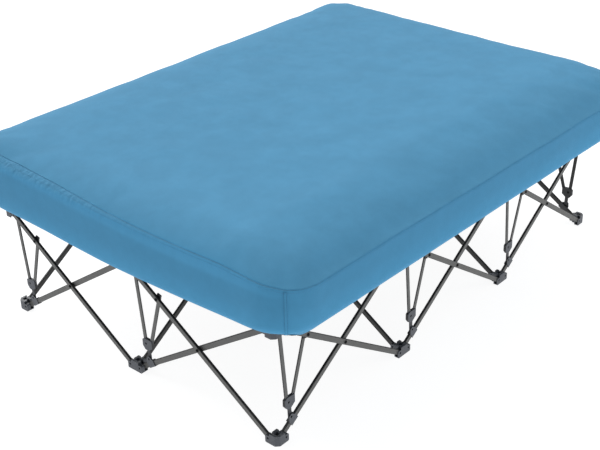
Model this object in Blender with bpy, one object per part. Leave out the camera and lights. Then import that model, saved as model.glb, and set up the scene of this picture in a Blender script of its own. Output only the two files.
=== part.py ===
"""Folding camp bed: a scissor lattice of steel tubes and moulded hubs, a fabric deck and a covered mattress.

Each bay between two neighbouring legs holds one crossed pair of flat tubes. The falling tube runs from the
top hub at the bay's start to the foot hub at its end, on the bay's outer side. The rising tube runs from the
foot hub at the start to the top hub at the end, on its inner side. Round the edge the bays follow each other
anticlockwise.
"""

import math

import bmesh
import bpy
from mathutils import Matrix, Vector

# Lattice
BAYS_LONG = 3
BAYS_WIDE = 2
BAY = 0.592
HUB_REACH = 0.0215
FOOT_PIVOT_HEIGHT = 0.0165
TOP_PIVOT_HEIGHT = 0.3795

# Clearance between pieces that touch, and round a pin in its hole
GAP = 0.0003
PIN_CLEARANCE = 0.0008

# Tubes. The falling ones stand this far out of the line between their hubs, the rising ones behind them
FALL_OFFSET = 0.0085
TUBE_SPACING = 0.0012
TUBE_WIDE = 0.018
TUBE_THICK = 0.009
TUBE_CHAMFER = 0.0016
TUBE_END_PAST_PIN = 0.0075
PIN_RADIUS = 0.0028
PIN_SIDES = 6
BOSS_RADIUS = 0.008
RIVET_HEAD_RADIUS = 0.0055
RIVET_HEAD_THICK = 0.0018
RIVET_WELL_RADIUS = 0.0040
RIVET_WELL_DEPTH = 0.0012

# Braces: two thin uprights that meet in a moulded bracket above each outer foot, in the rising tube's plane
UPRIGHT_WIDE = 0.0125
UPRIGHT_THICK = 0.004
BRACE_TOP_SHIFT = 0.003
BRACE_PIN_ALONG_TUBE = 0.129
BRACKET_HEIGHT = 0.112
BRACKET_REACH = 0.056
BRACKET_WIDE = 0.042
BRACKET_TALL = 0.042
BRACKET_THICK = 0.010
BRACKET_LEFT_ENTRY = -0.0090
BRACKET_RIGHT_ENTRY = 0.0125
BRACKET_WELL = (-0.0055, 0.0035)
# The bracket's front view as shares of its half width and half height, anticlockwise from the left shoulder
BRACKET_OUTLINE = [
    (-1.00, 0.72), (-1.00, -0.30), (-0.55, -0.90), (0.10, -1.00),
    (0.62, -0.62), (1.00, -0.35), (1.00, 0.95), (-0.45, 1.00),
]
BRACE_ARM_WIDE = 0.013
BRACE_ARM_PAST_PIN = 0.0026
BRACE_END_PROUD = 0.015
BRACE_END_LONG = 0.030
BRACE_END_WIDE = 0.0155

# Clip: the moulded sleeve on the rising tube that the bracket's arm meets
CLIP_ALONG_TUBE = 0.055
CLIP_LONG = 0.032
CLIP_WALL = 0.002
CLIP_LOBE_ABOVE_SLEEVE = 0.006
CLIP_LOBE_HALF = 0.0085
CLIP_SHOULDER_DROP = 0.0055

# Hubs
EAR_THICK = 0.003
EAR_REACH = 0.0105
EAR_RISE = 0.0095
EAR_TOP_CUT = 0.0035
EAR_UNDER_CUT = 0.0025
SLOT_CLEARANCE = 0.0004
HUB_FACE = 0.0165
HUB_TALL = 0.034
HUB_CORNER_CUT = 0.0110
ARM_ROOT = 0.0080
POCKET_HALF = 0.0070
POCKET_DEPTH = 0.014

# Deck and covered mattress
DECK_MARGIN = 0.022
DECK_THICK = 0.002
DECK_CORNER = 0.030
COVER_PAST_LEGS_LONG = 0.102
COVER_PAST_LEGS_WIDE = 0.138
COVER_TALL = 0.2364
COVER_PLAN_CORNER = 0.070
COVER_SHOULDER = 0.050
COVER_HEM = 0.070
COVER_CROWN = 0.016
COVER_DRAWN_IN = 0.008
# Where the cover's surface is cut for its rounded edges, as shares of each radius
CORNER_CUTS = (1.0, 0.42, 0.12)
SHOULDER_CUTS = (1.0, 0.45, 0.12)
HEM_CUTS = (1.0, 0.45, 0.12)
COVER_RUNS_LONG = 4
COVER_RUNS_WIDE = 3

ROUND_SIDES = 8
ARC_STEPS = 6
FLAT_ANGLE = math.radians(0.5)

# Worked out from the driving sizes
PLANES_APART = TUBE_THICK + TUBE_SPACING
RISE_OFFSET = PLANES_APART - FALL_OFFSET
SPAN = BAY - 2 * HUB_REACH
RISE = TOP_PIVOT_HEIGHT - FOOT_PIVOT_HEIGHT
TUBE_LENGTH = math.hypot(SPAN, RISE)
TUBE_ANGLE = math.atan2(RISE, SPAN)
TUBE_CORNER = math.hypot(TUBE_END_PAST_PIN, TUBE_WIDE / 2)
DECK_BOTTOM = TOP_PIVOT_HEIGHT + FOOT_PIVOT_HEIGHT + GAP
COVER_BOTTOM = DECK_BOTTOM + DECK_THICK + GAP
COVER_LONG = BAYS_LONG * BAY + 2 * COVER_PAST_LEGS_LONG
COVER_WIDE = BAYS_WIDE * BAY + 2 * COVER_PAST_LEGS_WIDE
HOLE_RADIUS = PIN_RADIUS + PIN_CLEARANCE
SLEEVE_HALF = TUBE_WIDE / 2 + CLIP_WALL
CLIP_LOBE_RISE = SLEEVE_HALF + CLIP_LOBE_ABOVE_SLEEVE

Z = Vector((0, 0, 1))

# Each kind of lattice point: the directions of the bays that start there and of those that end there, in a
# frame whose X runs along the edge bay that starts at the point and whose Y points inwards.
HUB_KINDS = {
    "corner": {"starts": [(1, 0)], "ends": [(0, -1)]},
    "edge_start": {"starts": [(1, 0), (0, 1)], "ends": [(1, 0)]},
    "edge_end": {"starts": [(1, 0)], "ends": [(1, 0), (0, -1)]},
    "inner": {"starts": [(1, 0), (0, 1)], "ends": [(1, 0), (0, 1)]},
}


def clear_scene():
    for obj in list(bpy.data.objects):
        bpy.data.objects.remove(obj, do_unlink=True)


def new_collection(name):
    collection = bpy.data.collections.new(name)
    bpy.context.scene.collection.children.link(collection)
    return collection


def make_material(name, color, roughness, metallic):
    material = bpy.data.materials.new(name)
    material.use_nodes = True
    shader = material.node_tree.nodes["Principled BSDF"]
    shader.inputs["Base Color"].default_value = (*color, 1)
    shader.inputs["Roughness"].default_value = roughness
    shader.inputs["Metallic"].default_value = metallic
    return material


def link_mesh(name, mesh, collection):
    obj = bpy.data.objects.new(name, mesh)
    collection.objects.link(obj)
    return obj


def evaluated_mesh(obj):
    """The object's mesh with its modifiers, in world space and with loose caps welded."""
    graph = bpy.context.evaluated_depsgraph_get()
    mesh = bpy.data.meshes.new_from_object(obj.evaluated_get(graph))
    mesh.transform(obj.matrix_world)
    shape = bmesh.new()
    shape.from_mesh(mesh)
    bmesh.ops.remove_doubles(shape, verts=shape.verts, dist=1e-6)
    bmesh.ops.recalc_face_normals(shape, faces=shape.faces)
    shape.to_mesh(mesh)
    shape.free()
    return mesh


def merge_flat_faces(mesh):
    """Joins the triangles of each flat face into one face."""
    shape = bmesh.new()
    shape.from_mesh(mesh)
    bmesh.ops.dissolve_limit(shape, angle_limit=FLAT_ANGLE, verts=shape.verts, edges=shape.edges)
    shape.to_mesh(mesh)
    shape.free()


def plate(points, half_thick, scratch, matrix=None):
    """A flat plate cut to a closed outline, lying in its own XY plane."""
    curve = bpy.data.curves.new("outline", "CURVE")
    curve.dimensions = "2D"
    curve.fill_mode = "BOTH"
    curve.extrude = half_thick
    spline = curve.splines.new("POLY")
    spline.points.add(len(points) - 1)
    for target, (x, y) in zip(spline.points, points):
        target.co = (x, y, 0, 1)
    spline.use_cyclic_u = True
    obj = bpy.data.objects.new("outline", curve)
    scratch.objects.link(obj)
    obj.matrix_world = matrix or Matrix()
    bpy.context.view_layer.update()
    mesh = evaluated_mesh(obj)
    merge_flat_faces(mesh)
    bpy.data.objects.remove(obj)
    return link_mesh("plate", mesh, scratch)


def rod(radius, start, end, scratch, matrix=None, sides=ROUND_SIDES):
    """A round rod along its own Z from one height to another."""
    shape = bmesh.new()
    middle = Matrix.Translation((0, 0, (start + end) / 2))
    bmesh.ops.create_cone(
        shape, cap_ends=True, segments=sides, radius1=radius, radius2=radius, depth=end - start, matrix=middle
    )
    mesh = bpy.data.meshes.new("rod")
    shape.to_mesh(mesh)
    shape.free()
    mesh.transform(matrix or Matrix())
    return link_mesh("rod", mesh, scratch)


def block(low, high, scratch, matrix=None):
    """A box between two corners."""
    low, high = Vector(low), Vector(high)
    shape = bmesh.new()
    size = Matrix.Diagonal((*(high - low), 1))
    bmesh.ops.create_cube(shape, size=1, matrix=Matrix.Translation((low + high) / 2) @ size)
    mesh = bpy.data.meshes.new("block")
    shape.to_mesh(mesh)
    shape.free()
    mesh.transform(matrix or Matrix())
    return link_mesh("block", mesh, scratch)


def fused(name, steps, scratch):
    """One closed mesh. Each step adds or cuts a list of solids, and the first solid of all is the base."""
    base = steps[0][1][0]
    for operation, solids in steps:
        for solid in solids:
            if solid is base:
                continue
            modifier = base.modifiers.new(operation.lower(), "BOOLEAN")
            modifier.operation = operation
            modifier.solver = "EXACT"
            modifier.object = solid
    bpy.context.view_layer.update()
    mesh = evaluated_mesh(base)
    mesh.name = name
    for obj in list(scratch.objects):
        bpy.data.objects.remove(obj)
    return mesh


def broken_rectangle(wide, tall, corner):
    """A rectangle's outline about its middle with its corners cut off."""
    x, y = wide / 2, tall / 2
    return [
        (x, -y + corner), (x, y - corner), (x - corner, y), (-x + corner, y),
        (-x, y - corner), (-x, -y + corner), (-x + corner, -y), (x - corner, -y),
    ]


def bar_between(start, end, wide, thick, scratch, matrix):
    """A flat bar from one point of a plate's frame to another, square at both ends."""
    start, end = Vector(start), Vector(end)
    middle = (start + end) / 2
    turn = math.atan2(end.y - start.y, end.x - start.x)
    place = matrix @ Matrix.Translation((middle.x, middle.y, 0)) @ Matrix.Rotation(turn, 4, "Z")
    half = Vector(((end - start).length / 2, wide / 2, thick / 2))
    return block(-half, half, scratch, place)


def tube_mesh(name, scratch, rises, braced):
    """A flat tube about its middle. X runs along it from its hub at the bay's start, Z out of the bay."""
    half = TUBE_LENGTH / 2
    face = TUBE_THICK / 2
    section = broken_rectangle(TUBE_THICK, TUBE_WIDE, TUBE_CHAMFER)
    lengthwise = Matrix(((0, 0, 1), (0, 1, 0), (-1, 0, 0))).to_4x4()
    pieces = [plate(section, half + TUBE_END_PAST_PIN, scratch, lengthwise)]
    holes = [-half, half] if rises else [-half, 0, half]
    cutters = []
    for x in holes:
        place = Matrix.Translation((x, 0, 0))
        cutters.append(rod(HOLE_RADIUS, -TUBE_THICK, TUBE_THICK, scratch, place, PIN_SIDES))
    if rises:
        head = PLANES_APART + face + GAP
        pieces.append(rod(BOSS_RADIUS, 0, PLANES_APART - face - GAP, scratch))
        pieces.append(rod(PIN_RADIUS, face, head + RIVET_HEAD_THICK / 2, scratch, sides=PIN_SIDES))
        pieces.append(rod(RIVET_HEAD_RADIUS, head, head + RIVET_HEAD_THICK, scratch))
    if rises and braced:
        sleeve, well = clip_pieces(scratch)
        pieces += sleeve
        cutters.append(well)
    if braced and not rises:
        place = Matrix.Translation((BRACE_PIN_ALONG_TUBE - half, 0, 0))
        pieces.append(rod(RIVET_HEAD_RADIUS, 0, face + RIVET_HEAD_THICK, scratch, place))
    return fused(name, [("UNION", pieces), ("DIFFERENCE", cutters)], scratch)


def clip_pieces(scratch):
    """The sleeve round the rising tube, the lobe in front of the bracket's arm, and its well's cutter."""
    place = Matrix.Translation((CLIP_ALONG_TUBE - TUBE_LENGTH / 2, 0, 0))
    half_long, half_wide = CLIP_LONG / 2, SLEEVE_HALF
    face = TUBE_THICK / 2 + CLIP_WALL
    sleeve = block((-half_long, -half_wide, -face), (half_long, half_wide, face), scratch, place)
    lobe_top = CLIP_LOBE_RISE + CLIP_LOBE_HALF
    outline = [
        (-half_long, 0), (half_long, 0), (half_long, half_wide - CLIP_SHOULDER_DROP),
        (CLIP_LOBE_HALF, lobe_top - CLIP_LOBE_HALF / 2), (CLIP_LOBE_HALF / 2, lobe_top),
        (-CLIP_LOBE_HALF / 2, lobe_top), (-CLIP_LOBE_HALF, lobe_top - CLIP_LOBE_HALF / 2),
        (-half_long, half_wide),
    ]
    back = UPRIGHT_THICK / 2 + GAP
    lobe = plate(outline, (face - back) / 2, scratch, place @ Matrix.Translation((0, 0, (face + back) / 2)))
    well = rivet_well(face, 1, scratch, place @ Matrix.Translation((0, CLIP_LOBE_RISE, 0)))
    return [sleeve, lobe], well


def rivet_well(face, outwards, scratch, matrix):
    """The cutter for a shallow round well over a rivet, sunk into a face at this height of its frame."""
    low, high = sorted((face - outwards * RIVET_WELL_DEPTH, face + outwards * RIVET_WELL_DEPTH))
    return rod(RIVET_WELL_RADIUS, low, high, scratch, matrix)


def arm_pieces(direction, sideways, upright, starts, on_edge, scratch):
    """An arm reaching from a hub's middle, the cutters for its tube's slot and rivet well, and its pin.

    upright is 1 for a foot hub, whose slots open upwards, and -1 for a top hub. The well is on the bay's
    outer side. An arm on the bed's edge is flush with the hub's outer face, and the one that holds a brace
    reaches back to it.
    """
    along = Vector((*direction, 0))
    pivot_height = FOOT_PIVOT_HEIGHT if upright == 1 else TOP_PIVOT_HEIGHT
    frame = Matrix((along, Z * upright, along.cross(Z * upright))).transposed().to_4x4()
    frame.translation = along.cross(Z) * sideways + Z * pivot_height
    pivot = frame @ Matrix.Translation((HUB_REACH, 0, 0))
    slot_half = TUBE_THICK / 2 + GAP
    arm_half = slot_half + EAR_THICK
    tip = HUB_REACH + EAR_REACH
    floor = -FOOT_PIVOT_HEIGHT
    outline = [
        (ARM_ROOT, floor), (tip - EAR_UNDER_CUT, floor), (tip, floor + EAR_UNDER_CUT),
        (tip, EAR_RISE - EAR_TOP_CUT), (tip - EAR_TOP_CUT, EAR_RISE), (ARM_ROOT, EAR_RISE),
    ]
    outwards = upright if starts else -upright
    outer, inner = arm_half, arm_half
    if on_edge:
        outer = HUB_FACE - (sideways if starts else -sideways)
    if on_edge and starts and upright == -1:
        inner = PLANES_APART + UPRIGHT_THICK / 2 + GAP
    middle = Matrix.Translation((0, 0, outwards * (outer - inner) / 2))
    arm = plate(outline, (outer + inner) / 2, scratch, frame @ middle)
    clear = TUBE_CORNER + SLOT_CLEARANCE
    low, high = (HUB_REACH - clear, -clear, -slot_half), (tip + clear, EAR_RISE + clear, slot_half)
    slot = block(low, high, scratch, frame)
    well = rivet_well(outwards * outer, outwards, scratch, pivot)
    pin_end = slot_half + EAR_THICK / 2
    pin = rod(PIN_RADIUS, -pin_end, pin_end, scratch, pivot, PIN_SIDES)
    return arm, [slot, well], pin


def arms_of(kind, foot):
    """Each arm's direction, its place along direction cross up, whether its bay starts at this hub, and
    whether it lies along the bed's edge."""
    arms = []
    for direction in HUB_KINDS[kind]["starts"]:
        on_edge = kind != "inner" and direction[1] == 0
        arms.append((direction, -RISE_OFFSET if foot else FALL_OFFSET, True, on_edge))
    for direction in HUB_KINDS[kind]["ends"]:
        back = (-direction[0], -direction[1])
        on_edge = kind == "corner" or kind != "inner" and direction[1] == 0
        arms.append((back, -FALL_OFFSET if foot else RISE_OFFSET, False, on_edge))
    return arms


def hub_mesh(kind, foot, scratch):
    level = FOOT_PIVOT_HEIGHT + TOP_PIVOT_HEIGHT
    upright = 1 if foot else -1
    base = 0 if foot else level
    mouth = base + upright * HUB_TALL
    cut = HUB_CORNER_CUT if kind == "corner" else 0
    plan = [
        (-HUB_FACE + cut, -HUB_FACE), (HUB_FACE, -HUB_FACE), (HUB_FACE, HUB_FACE),
        (-HUB_FACE, HUB_FACE), (-HUB_FACE, -HUB_FACE + cut),
    ]
    pieces = [plate(plan, HUB_TALL / 2, scratch, Matrix.Translation((0, 0, (base + mouth) / 2)))]
    low, high = sorted((mouth - upright * POCKET_DEPTH, mouth + upright * POCKET_DEPTH))
    cutters = [block((-POCKET_HALF, -POCKET_HALF, low), (POCKET_HALF, POCKET_HALF, high), scratch)]
    pins = []
    for direction, sideways, starts, on_edge in arms_of(kind, foot):
        arm, cuts, pin = arm_pieces(direction, sideways, upright, starts, on_edge, scratch)
        pieces.append(arm)
        cutters += cuts
        pins.append(pin)
    steps = [("UNION", pieces), ("DIFFERENCE", cutters), ("UNION", pins)]
    if not foot and kind != "inner":
        brace, well = brace_pieces(scratch)
        steps += [("UNION", brace), ("DIFFERENCE", [well])]
    return fused(("foot_hub_" if foot else "top_hub_") + kind, steps, scratch)


def point_on_fall(distance):
    """A point of the falling tube's middle line, this far from its top pivot, as reach and height."""
    reach = HUB_REACH + distance * math.cos(TUBE_ANGLE)
    return Vector((reach, TOP_PIVOT_HEIGHT - distance * math.sin(TUBE_ANGLE)))


def clip_pin_point():
    """The middle of the clip's lobe, as reach and height."""
    along = Vector((math.cos(TUBE_ANGLE), math.sin(TUBE_ANGLE)))
    above = Vector((-along.y, along.x))
    return Vector((HUB_REACH, FOOT_PIVOT_HEIGHT)) + along * CLIP_ALONG_TUBE + above * CLIP_LOBE_RISE


def brace_pieces(scratch):
    """Both uprights and the bracket with its arm, in the rising tube's plane, and the bracket's well."""
    frame = Matrix(((1, 0, 0), (0, 0, -1), (0, 1, 0))).to_4x4()
    frame.translation = (0, RISE_OFFSET, 0)
    bracket = Vector((BRACKET_REACH, BRACKET_HEIGHT))
    left_foot = bracket + Vector((BRACKET_LEFT_ENTRY, 0))
    right_foot = bracket + Vector((BRACKET_RIGHT_ENTRY, 0))
    left_top = Vector((HUB_REACH + BRACE_TOP_SHIFT, TOP_PIVOT_HEIGHT))
    right_top = point_on_fall(BRACE_PIN_ALONG_TUBE)
    down = (right_foot - right_top).normalized()
    right_top -= down * BRACE_END_PROUD
    pin = clip_pin_point()
    arm_end = pin + (pin - bracket).normalized() * BRACE_ARM_PAST_PIN
    end_face = PLANES_APART - TUBE_THICK / 2 - GAP
    end_place = frame @ Matrix.Translation((0, 0, end_face / 2))
    place = frame @ Matrix.Translation((bracket.x, bracket.y, 0))
    outline = [(x * BRACKET_WIDE / 2, y * BRACKET_TALL / 2) for x, y in BRACKET_OUTLINE]
    bars = [
        (left_top, left_foot, UPRIGHT_WIDE),
        (right_top + down * BRACE_END_LONG / 2, right_foot, UPRIGHT_WIDE),
        (bracket, arm_end, BRACE_ARM_WIDE),
    ]
    pieces = [bar_between(start, end, wide, UPRIGHT_THICK, scratch, frame) for start, end, wide in bars]
    end_low = right_top + down * BRACE_END_LONG
    pieces.append(bar_between(right_top, end_low, BRACE_END_WIDE, end_face, scratch, end_place))
    pieces.append(plate(outline, BRACKET_THICK / 2, scratch, place))
    well = rivet_well(BRACKET_THICK / 2, 1, scratch, place @ Matrix.Translation((*BRACKET_WELL, 0)))
    return pieces, well


def cuts_along(half, corner, runs):
    """Cut places along one side of the mattress: a few round each corner and an even run between them."""
    near_corner = [half - corner * share for share in CORNER_CUTS]
    inner = half - corner
    between = [-inner + 2 * inner * step / (runs + 1) for step in range(1, runs + 1)]
    return [-value for value in near_corner] + between + near_corner


def cover_mesh():
    """The mattress in its fitted cover: crowned top, soft shoulders and sides drawn in between corners."""
    half = Vector((COVER_LONG / 2, COVER_WIDE / 2, COVER_TALL / 2))
    shape = bmesh.new()
    bmesh.ops.create_cube(shape, size=2, matrix=Matrix.Diagonal((*half, 1)))
    heights = [half.z - COVER_SHOULDER * share for share in SHOULDER_CUTS]
    heights += [-half.z + COVER_HEM * share for share in HEM_CUTS]
    cuts = [
        cuts_along(half.x, COVER_PLAN_CORNER, COVER_RUNS_LONG),
        cuts_along(half.y, COVER_PLAN_CORNER, COVER_RUNS_WIDE),
        heights,
    ]
    for axis, places in enumerate(cuts):
        normal = Vector([float(axis == k) for k in range(3)])
        for place in places:
            geometry = shape.verts[:] + shape.edges[:] + shape.faces[:]
            bmesh.ops.bisect_plane(shape, geom=geometry, plane_co=normal * place, plane_no=normal)
    for vertex in shape.verts:
        vertex.co = soft_point(vertex.co, half)
    bmesh.ops.recalc_face_normals(shape, faces=shape.faces)
    mesh = bpy.data.meshes.new("covered_mattress")
    shape.to_mesh(mesh)
    shape.free()
    return mesh


def soft_point(point, half):
    """The place on the soft form of a point on the surface of its box."""
    radius = Vector((COVER_PLAN_CORNER, COVER_PLAN_CORNER, COVER_SHOULDER if point.z > 0 else COVER_HEM))
    inner = Vector([max(radius[k] - half[k], min(half[k] - radius[k], point[k])) for k in range(3)])
    away = Vector([(point[k] - inner[k]) / radius[k] for k in range(3)])
    moved = point.copy()
    if away.length > 0:
        reach = max(abs(value) for value in away) / away.length
        moved = inner + (point - inner) * reach
    across_x = min(1, abs(moved.x) / (half.x - COVER_PLAN_CORNER))
    across_y = min(1, abs(moved.y) / (half.y - COVER_PLAN_CORNER))
    moved.x -= math.copysign(COVER_DRAWN_IN * (1 - across_y ** 2) * (moved.x / half.x) ** 2, moved.x)
    moved.y -= math.copysign(COVER_DRAWN_IN * (1 - across_x ** 2) * (moved.y / half.y) ** 2, moved.y)
    if moved.z > 0:
        moved.z -= COVER_CROWN * (across_x ** 4 + across_y ** 4) / 2 * moved.z / half.z
    moved.z += COVER_BOTTOM + COVER_TALL / 2
    return moved


def deck_mesh(scratch):
    """The fabric deck stretched over the top hubs."""
    half_long = BAYS_LONG * BAY / 2 + DECK_MARGIN
    half_wide = BAYS_WIDE * BAY / 2 + DECK_MARGIN
    points = []
    for quarter, (sx, sy) in enumerate(((1, 1), (-1, 1), (-1, -1), (1, -1))):
        centre = Vector((sx * (half_long - DECK_CORNER), sy * (half_wide - DECK_CORNER)))
        for step in range(ARC_STEPS + 1):
            turn = math.pi / 2 * (quarter + step / ARC_STEPS)
            points.append((centre.x + DECK_CORNER * math.cos(turn), centre.y + DECK_CORNER * math.sin(turn)))
    place = Matrix.Translation((0, 0, DECK_BOTTOM + DECK_THICK / 2))
    return fused("deck", [("UNION", [plate(points, DECK_THICK / 2, scratch, place)])], scratch)


def lattice_points():
    """Each lattice point as column, row, kind of hub and quarter turn of the edge bay starting there."""
    found = []
    for column in range(BAYS_LONG + 1):
        for row in range(BAYS_WIDE + 1):
            left, right = column == 0, column == BAYS_LONG
            near, far = row == 0, row == BAYS_WIDE
            if near and not right:
                quarter = 0
            elif right and not far:
                quarter = 1
            elif far and not left:
                quarter = 2
            elif left:
                quarter = 3
            else:
                quarter = 0
            if (left or right) and (near or far):
                kind = "corner"
            elif near or left:
                kind = "edge_start"
            elif far or right:
                kind = "edge_end"
            else:
                kind = "inner"
            found.append((column, row, kind, quarter))
    return found


def bays():
    """Each bay's first and last lattice point: the edge ones anticlockwise, the inner ones along X and Y."""
    found = []
    for column in range(BAYS_LONG):
        found.append(((column, 0), (column + 1, 0)))
        found.append(((column + 1, BAYS_WIDE), (column, BAYS_WIDE)))
        for row in range(1, BAYS_WIDE):
            found.append(((column, row), (column + 1, row)))
    for row in range(BAYS_WIDE):
        found.append(((BAYS_LONG, row), (BAYS_LONG, row + 1)))
        found.append(((0, row + 1), (0, row)))
        for column in range(1, BAYS_LONG):
            found.append(((column, row), (column, row + 1)))
    return found


def at_point(column, row):
    return Vector(((column - BAYS_LONG / 2) * BAY, (row - BAYS_WIDE / 2) * BAY, 0))


def label(column, row):
    return f"{column + 1}{row + 1}"


def is_edge(start, end):
    along_side = start[1] == end[1] and start[1] in (0, BAYS_WIDE)
    along_end = start[0] == end[0] and start[0] in (0, BAYS_LONG)
    return along_side or along_end


def place_hubs(parts, scratch, material):
    meshes = {kind: (hub_mesh(kind, True, scratch), hub_mesh(kind, False, scratch)) for kind in HUB_KINDS}
    for foot, top in meshes.values():
        foot.materials.append(material)
        top.materials.append(material)
    for column, row, kind, quarter in lattice_points():
        for name, mesh in zip(("foot_hub", "top_hub"), meshes[kind]):
            hub = link_mesh(f"{name}_{label(column, row)}", mesh, parts)
            hub.location = at_point(column, row)
            hub.rotation_euler.z = quarter * math.pi / 2


def place_tubes(parts, scratch, material):
    meshes = {}
    for rises in (False, True):
        for braced in (False, True):
            name = f"{'rising' if rises else 'falling'}_tube_{'braced' if braced else 'plain'}"
            meshes[rises, braced] = tube_mesh(name, scratch, rises, braced)
            meshes[rises, braced].materials.append(material)
    middle_height = (FOOT_PIVOT_HEIGHT + TOP_PIVOT_HEIGHT) / 2
    for start, end in bays():
        first, last = at_point(*start), at_point(*end)
        along = (last - first).normalized()
        out = along.cross(Z)
        for rises in (False, True):
            kind = "rising" if rises else "falling"
            mesh = meshes[rises, is_edge(start, end)]
            tube = link_mesh(f"{kind}_tube_{label(*start)}_{label(*end)}", mesh, parts)
            frame = Matrix((along, Z, out)).transposed().to_4x4()
            turn = TUBE_ANGLE if rises else -TUBE_ANGLE
            side = -RISE_OFFSET if rises else FALL_OFFSET
            frame.translation = (first + last) / 2 + Z * middle_height + out * side
            tube.matrix_world = frame @ Matrix.Rotation(turn, 4, "Z")


def place_bedding(parts, scratch, deck_material, cover_material):
    deck = link_mesh("deck", deck_mesh(scratch), parts)
    deck.data.materials.append(deck_material)
    cover = link_mesh("covered_mattress", cover_mesh(), parts)
    cover.data.materials.append(cover_material)
    cover.data.shade_smooth()


def main():
    clear_scene()
    parts = new_collection("camping_cot")
    scratch = new_collection("camping_cot_cutters")
    plastic = make_material("slate_plastic", (0.10, 0.11, 0.13), 0.55, 0.0)
    steel = make_material("grey_coated_steel", (0.13, 0.13, 0.125), 0.45, 0.3)
    webbing = make_material("grey_deck_fabric", (0.16, 0.17, 0.18), 0.85, 0.0)
    fabric = make_material("blue_cover_fabric", (0.12, 0.34, 0.55), 0.85, 0.0)
    place_hubs(parts, scratch, plastic)
    place_tubes(parts, scratch, steel)
    place_bedding(parts, scratch, webbing, fabric)
    bpy.data.collections.remove(scratch)


main()
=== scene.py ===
"""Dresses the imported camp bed: steel and plastic finishes, fastenings, fabric deck and covered mattress.

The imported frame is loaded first. Each operator then makes one group of pieces around it, in metres and in the
frame's own place, so that nothing has to be fitted afterwards.
"""

import math
from itertools import product

import bmesh
import bpy
from bpy.props import FloatProperty, FloatVectorProperty, IntProperty, PointerProperty
from mathutils import Matrix, Vector, noise
from mathutils.bvhtree import BVHTree


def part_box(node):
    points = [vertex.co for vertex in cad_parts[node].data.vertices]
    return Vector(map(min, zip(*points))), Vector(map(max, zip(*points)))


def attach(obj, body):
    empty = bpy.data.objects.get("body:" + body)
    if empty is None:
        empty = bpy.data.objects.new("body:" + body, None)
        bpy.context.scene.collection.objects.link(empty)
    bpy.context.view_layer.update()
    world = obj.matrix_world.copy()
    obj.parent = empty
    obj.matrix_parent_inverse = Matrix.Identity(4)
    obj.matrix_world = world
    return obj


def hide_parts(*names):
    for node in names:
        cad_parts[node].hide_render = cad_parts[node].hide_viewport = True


bl_info = {
    "name": "Folding Camp Bed",
    "version": (1, 0, 0),
    "blender": (4, 5, 0),
    "location": "3D View > Sidebar > Camp Bed",
    "description": "Finishes a folding camp bed with a fabric deck and a covered mattress",
    "category": "Object",
}

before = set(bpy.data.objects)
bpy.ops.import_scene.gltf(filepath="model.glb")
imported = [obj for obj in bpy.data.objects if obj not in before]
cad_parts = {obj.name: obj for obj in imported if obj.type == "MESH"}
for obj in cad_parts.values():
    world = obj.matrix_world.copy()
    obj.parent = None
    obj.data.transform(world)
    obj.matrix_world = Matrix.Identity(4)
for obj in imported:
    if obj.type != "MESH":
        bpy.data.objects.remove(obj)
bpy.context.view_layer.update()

# The frame's layout, as it was built
BAYS_LONG, BAYS_WIDE = 3, 2
BAY = 0.592
HUB_REACH = 0.0215
FOOT_PIVOT = 0.0165
TOP_PIVOT = 0.3795
TUBE_THICK = 0.009
FALL_OFFSET = 0.0085
RISE_OFFSET = -0.0017
HUB_FACE = 0.0165
ARM_HALF = 0.0078
RIVET_WELL = 0.0012
TUBE_ANGLE = math.atan2(TOP_PIVOT - FOOT_PIVOT, BAY - 2 * HUB_REACH)
BRACE_PIN_ALONG = 0.129
CLIP_ALONG, CLIP_RISE = 0.055, 0.017
CLIP_FACE = TUBE_THICK / 2 + 0.002
BRACKET_RIVET = (0.0505, 0.1155)
BRACKET_FACE = 0.005
BOSS_PROUD, PIN_PROUD = 0.0021, 0.0018
DECK_CORNER = 0.030

# Where a finish changes on one solid: the foot hub's top, the clip's ends along the tube from the foot pivot,
# the bracket's lower end, the heights between which a brace is bare steel, and the height and reach past
# which its upper end is a plastic cap
HUB_TOP = 0.040
CLIP_SPAN = (0.0388, 0.0712)
BRACKET_LOW = 0.0915
BRACE_STEEL = (0.134, 0.3615)
BRACE_CAP = (0.2935, 0.080)

# A rivet's outline from its washer to its middle, in shares of its radius and of its rise
RIVET_OUTLINE = ((1.35, 0.0), (1.33, 0.22), (1.02, 0.26), (0.97, 0.50), (0.80, 0.78), (0.50, 0.95), (0.18, 1.0))
RIVET_SIDES = 14

# The deck: its cloth's squares along and across, the points round its edge, the cloth's unevenness, its patches
DECK_GRID = (120, 80)
EDGE_POINTS = 360
DECK_RIPPLE = 0.0005
PATCH_HALF, PATCH_STEPS = 0.030, 8
# Webbing over the cloth: how proud it lies where it is sewn down and in a patch's middle, and the binding's
# fold, by how far it is from the edge and how proud it is, to its rounded outside
WEB_SEWN, PATCH_PROUD = 0.0001, 0.0005
FOLD_INWARDS, FOLD_PROUD, FOLD_OUTSIDE = 0.0012, 0.00035, (0.0002, 0.0003)

# The cover's rows and columns: cuts round a corner in shares of its radius, the step elsewhere, and the side's
# rows, in shares of the height from the floor to the top seam and from there to the top
CORNER_CUTS = (0.0, 0.07, 0.16, 0.27, 0.40, 0.56, 0.76, 1.0)
COVER_STEP = 0.018
ROWS_BELOW = [k / 12 for k in range(11)] + [0.895, 0.945, 0.98]
ROWS_ABOVE = [0.05, 0.14, 0.27, 0.42, 0.58, 0.74, 0.88, 1.0]
# The top seam's course, in shares of the half sizes: where a short side begins, where the climb along it starts
# and ends, and how much of that climb the long sides share
SEAM_TURN, SEAM_CLIMB, SEAM_SHARED = 0.86, (-0.62, 0.88), 0.6
# Where the rim begins along the length and along the width, in shares of the half sizes
RIM_LONG, RIM_WIDE = 0.93, 0.87
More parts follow.
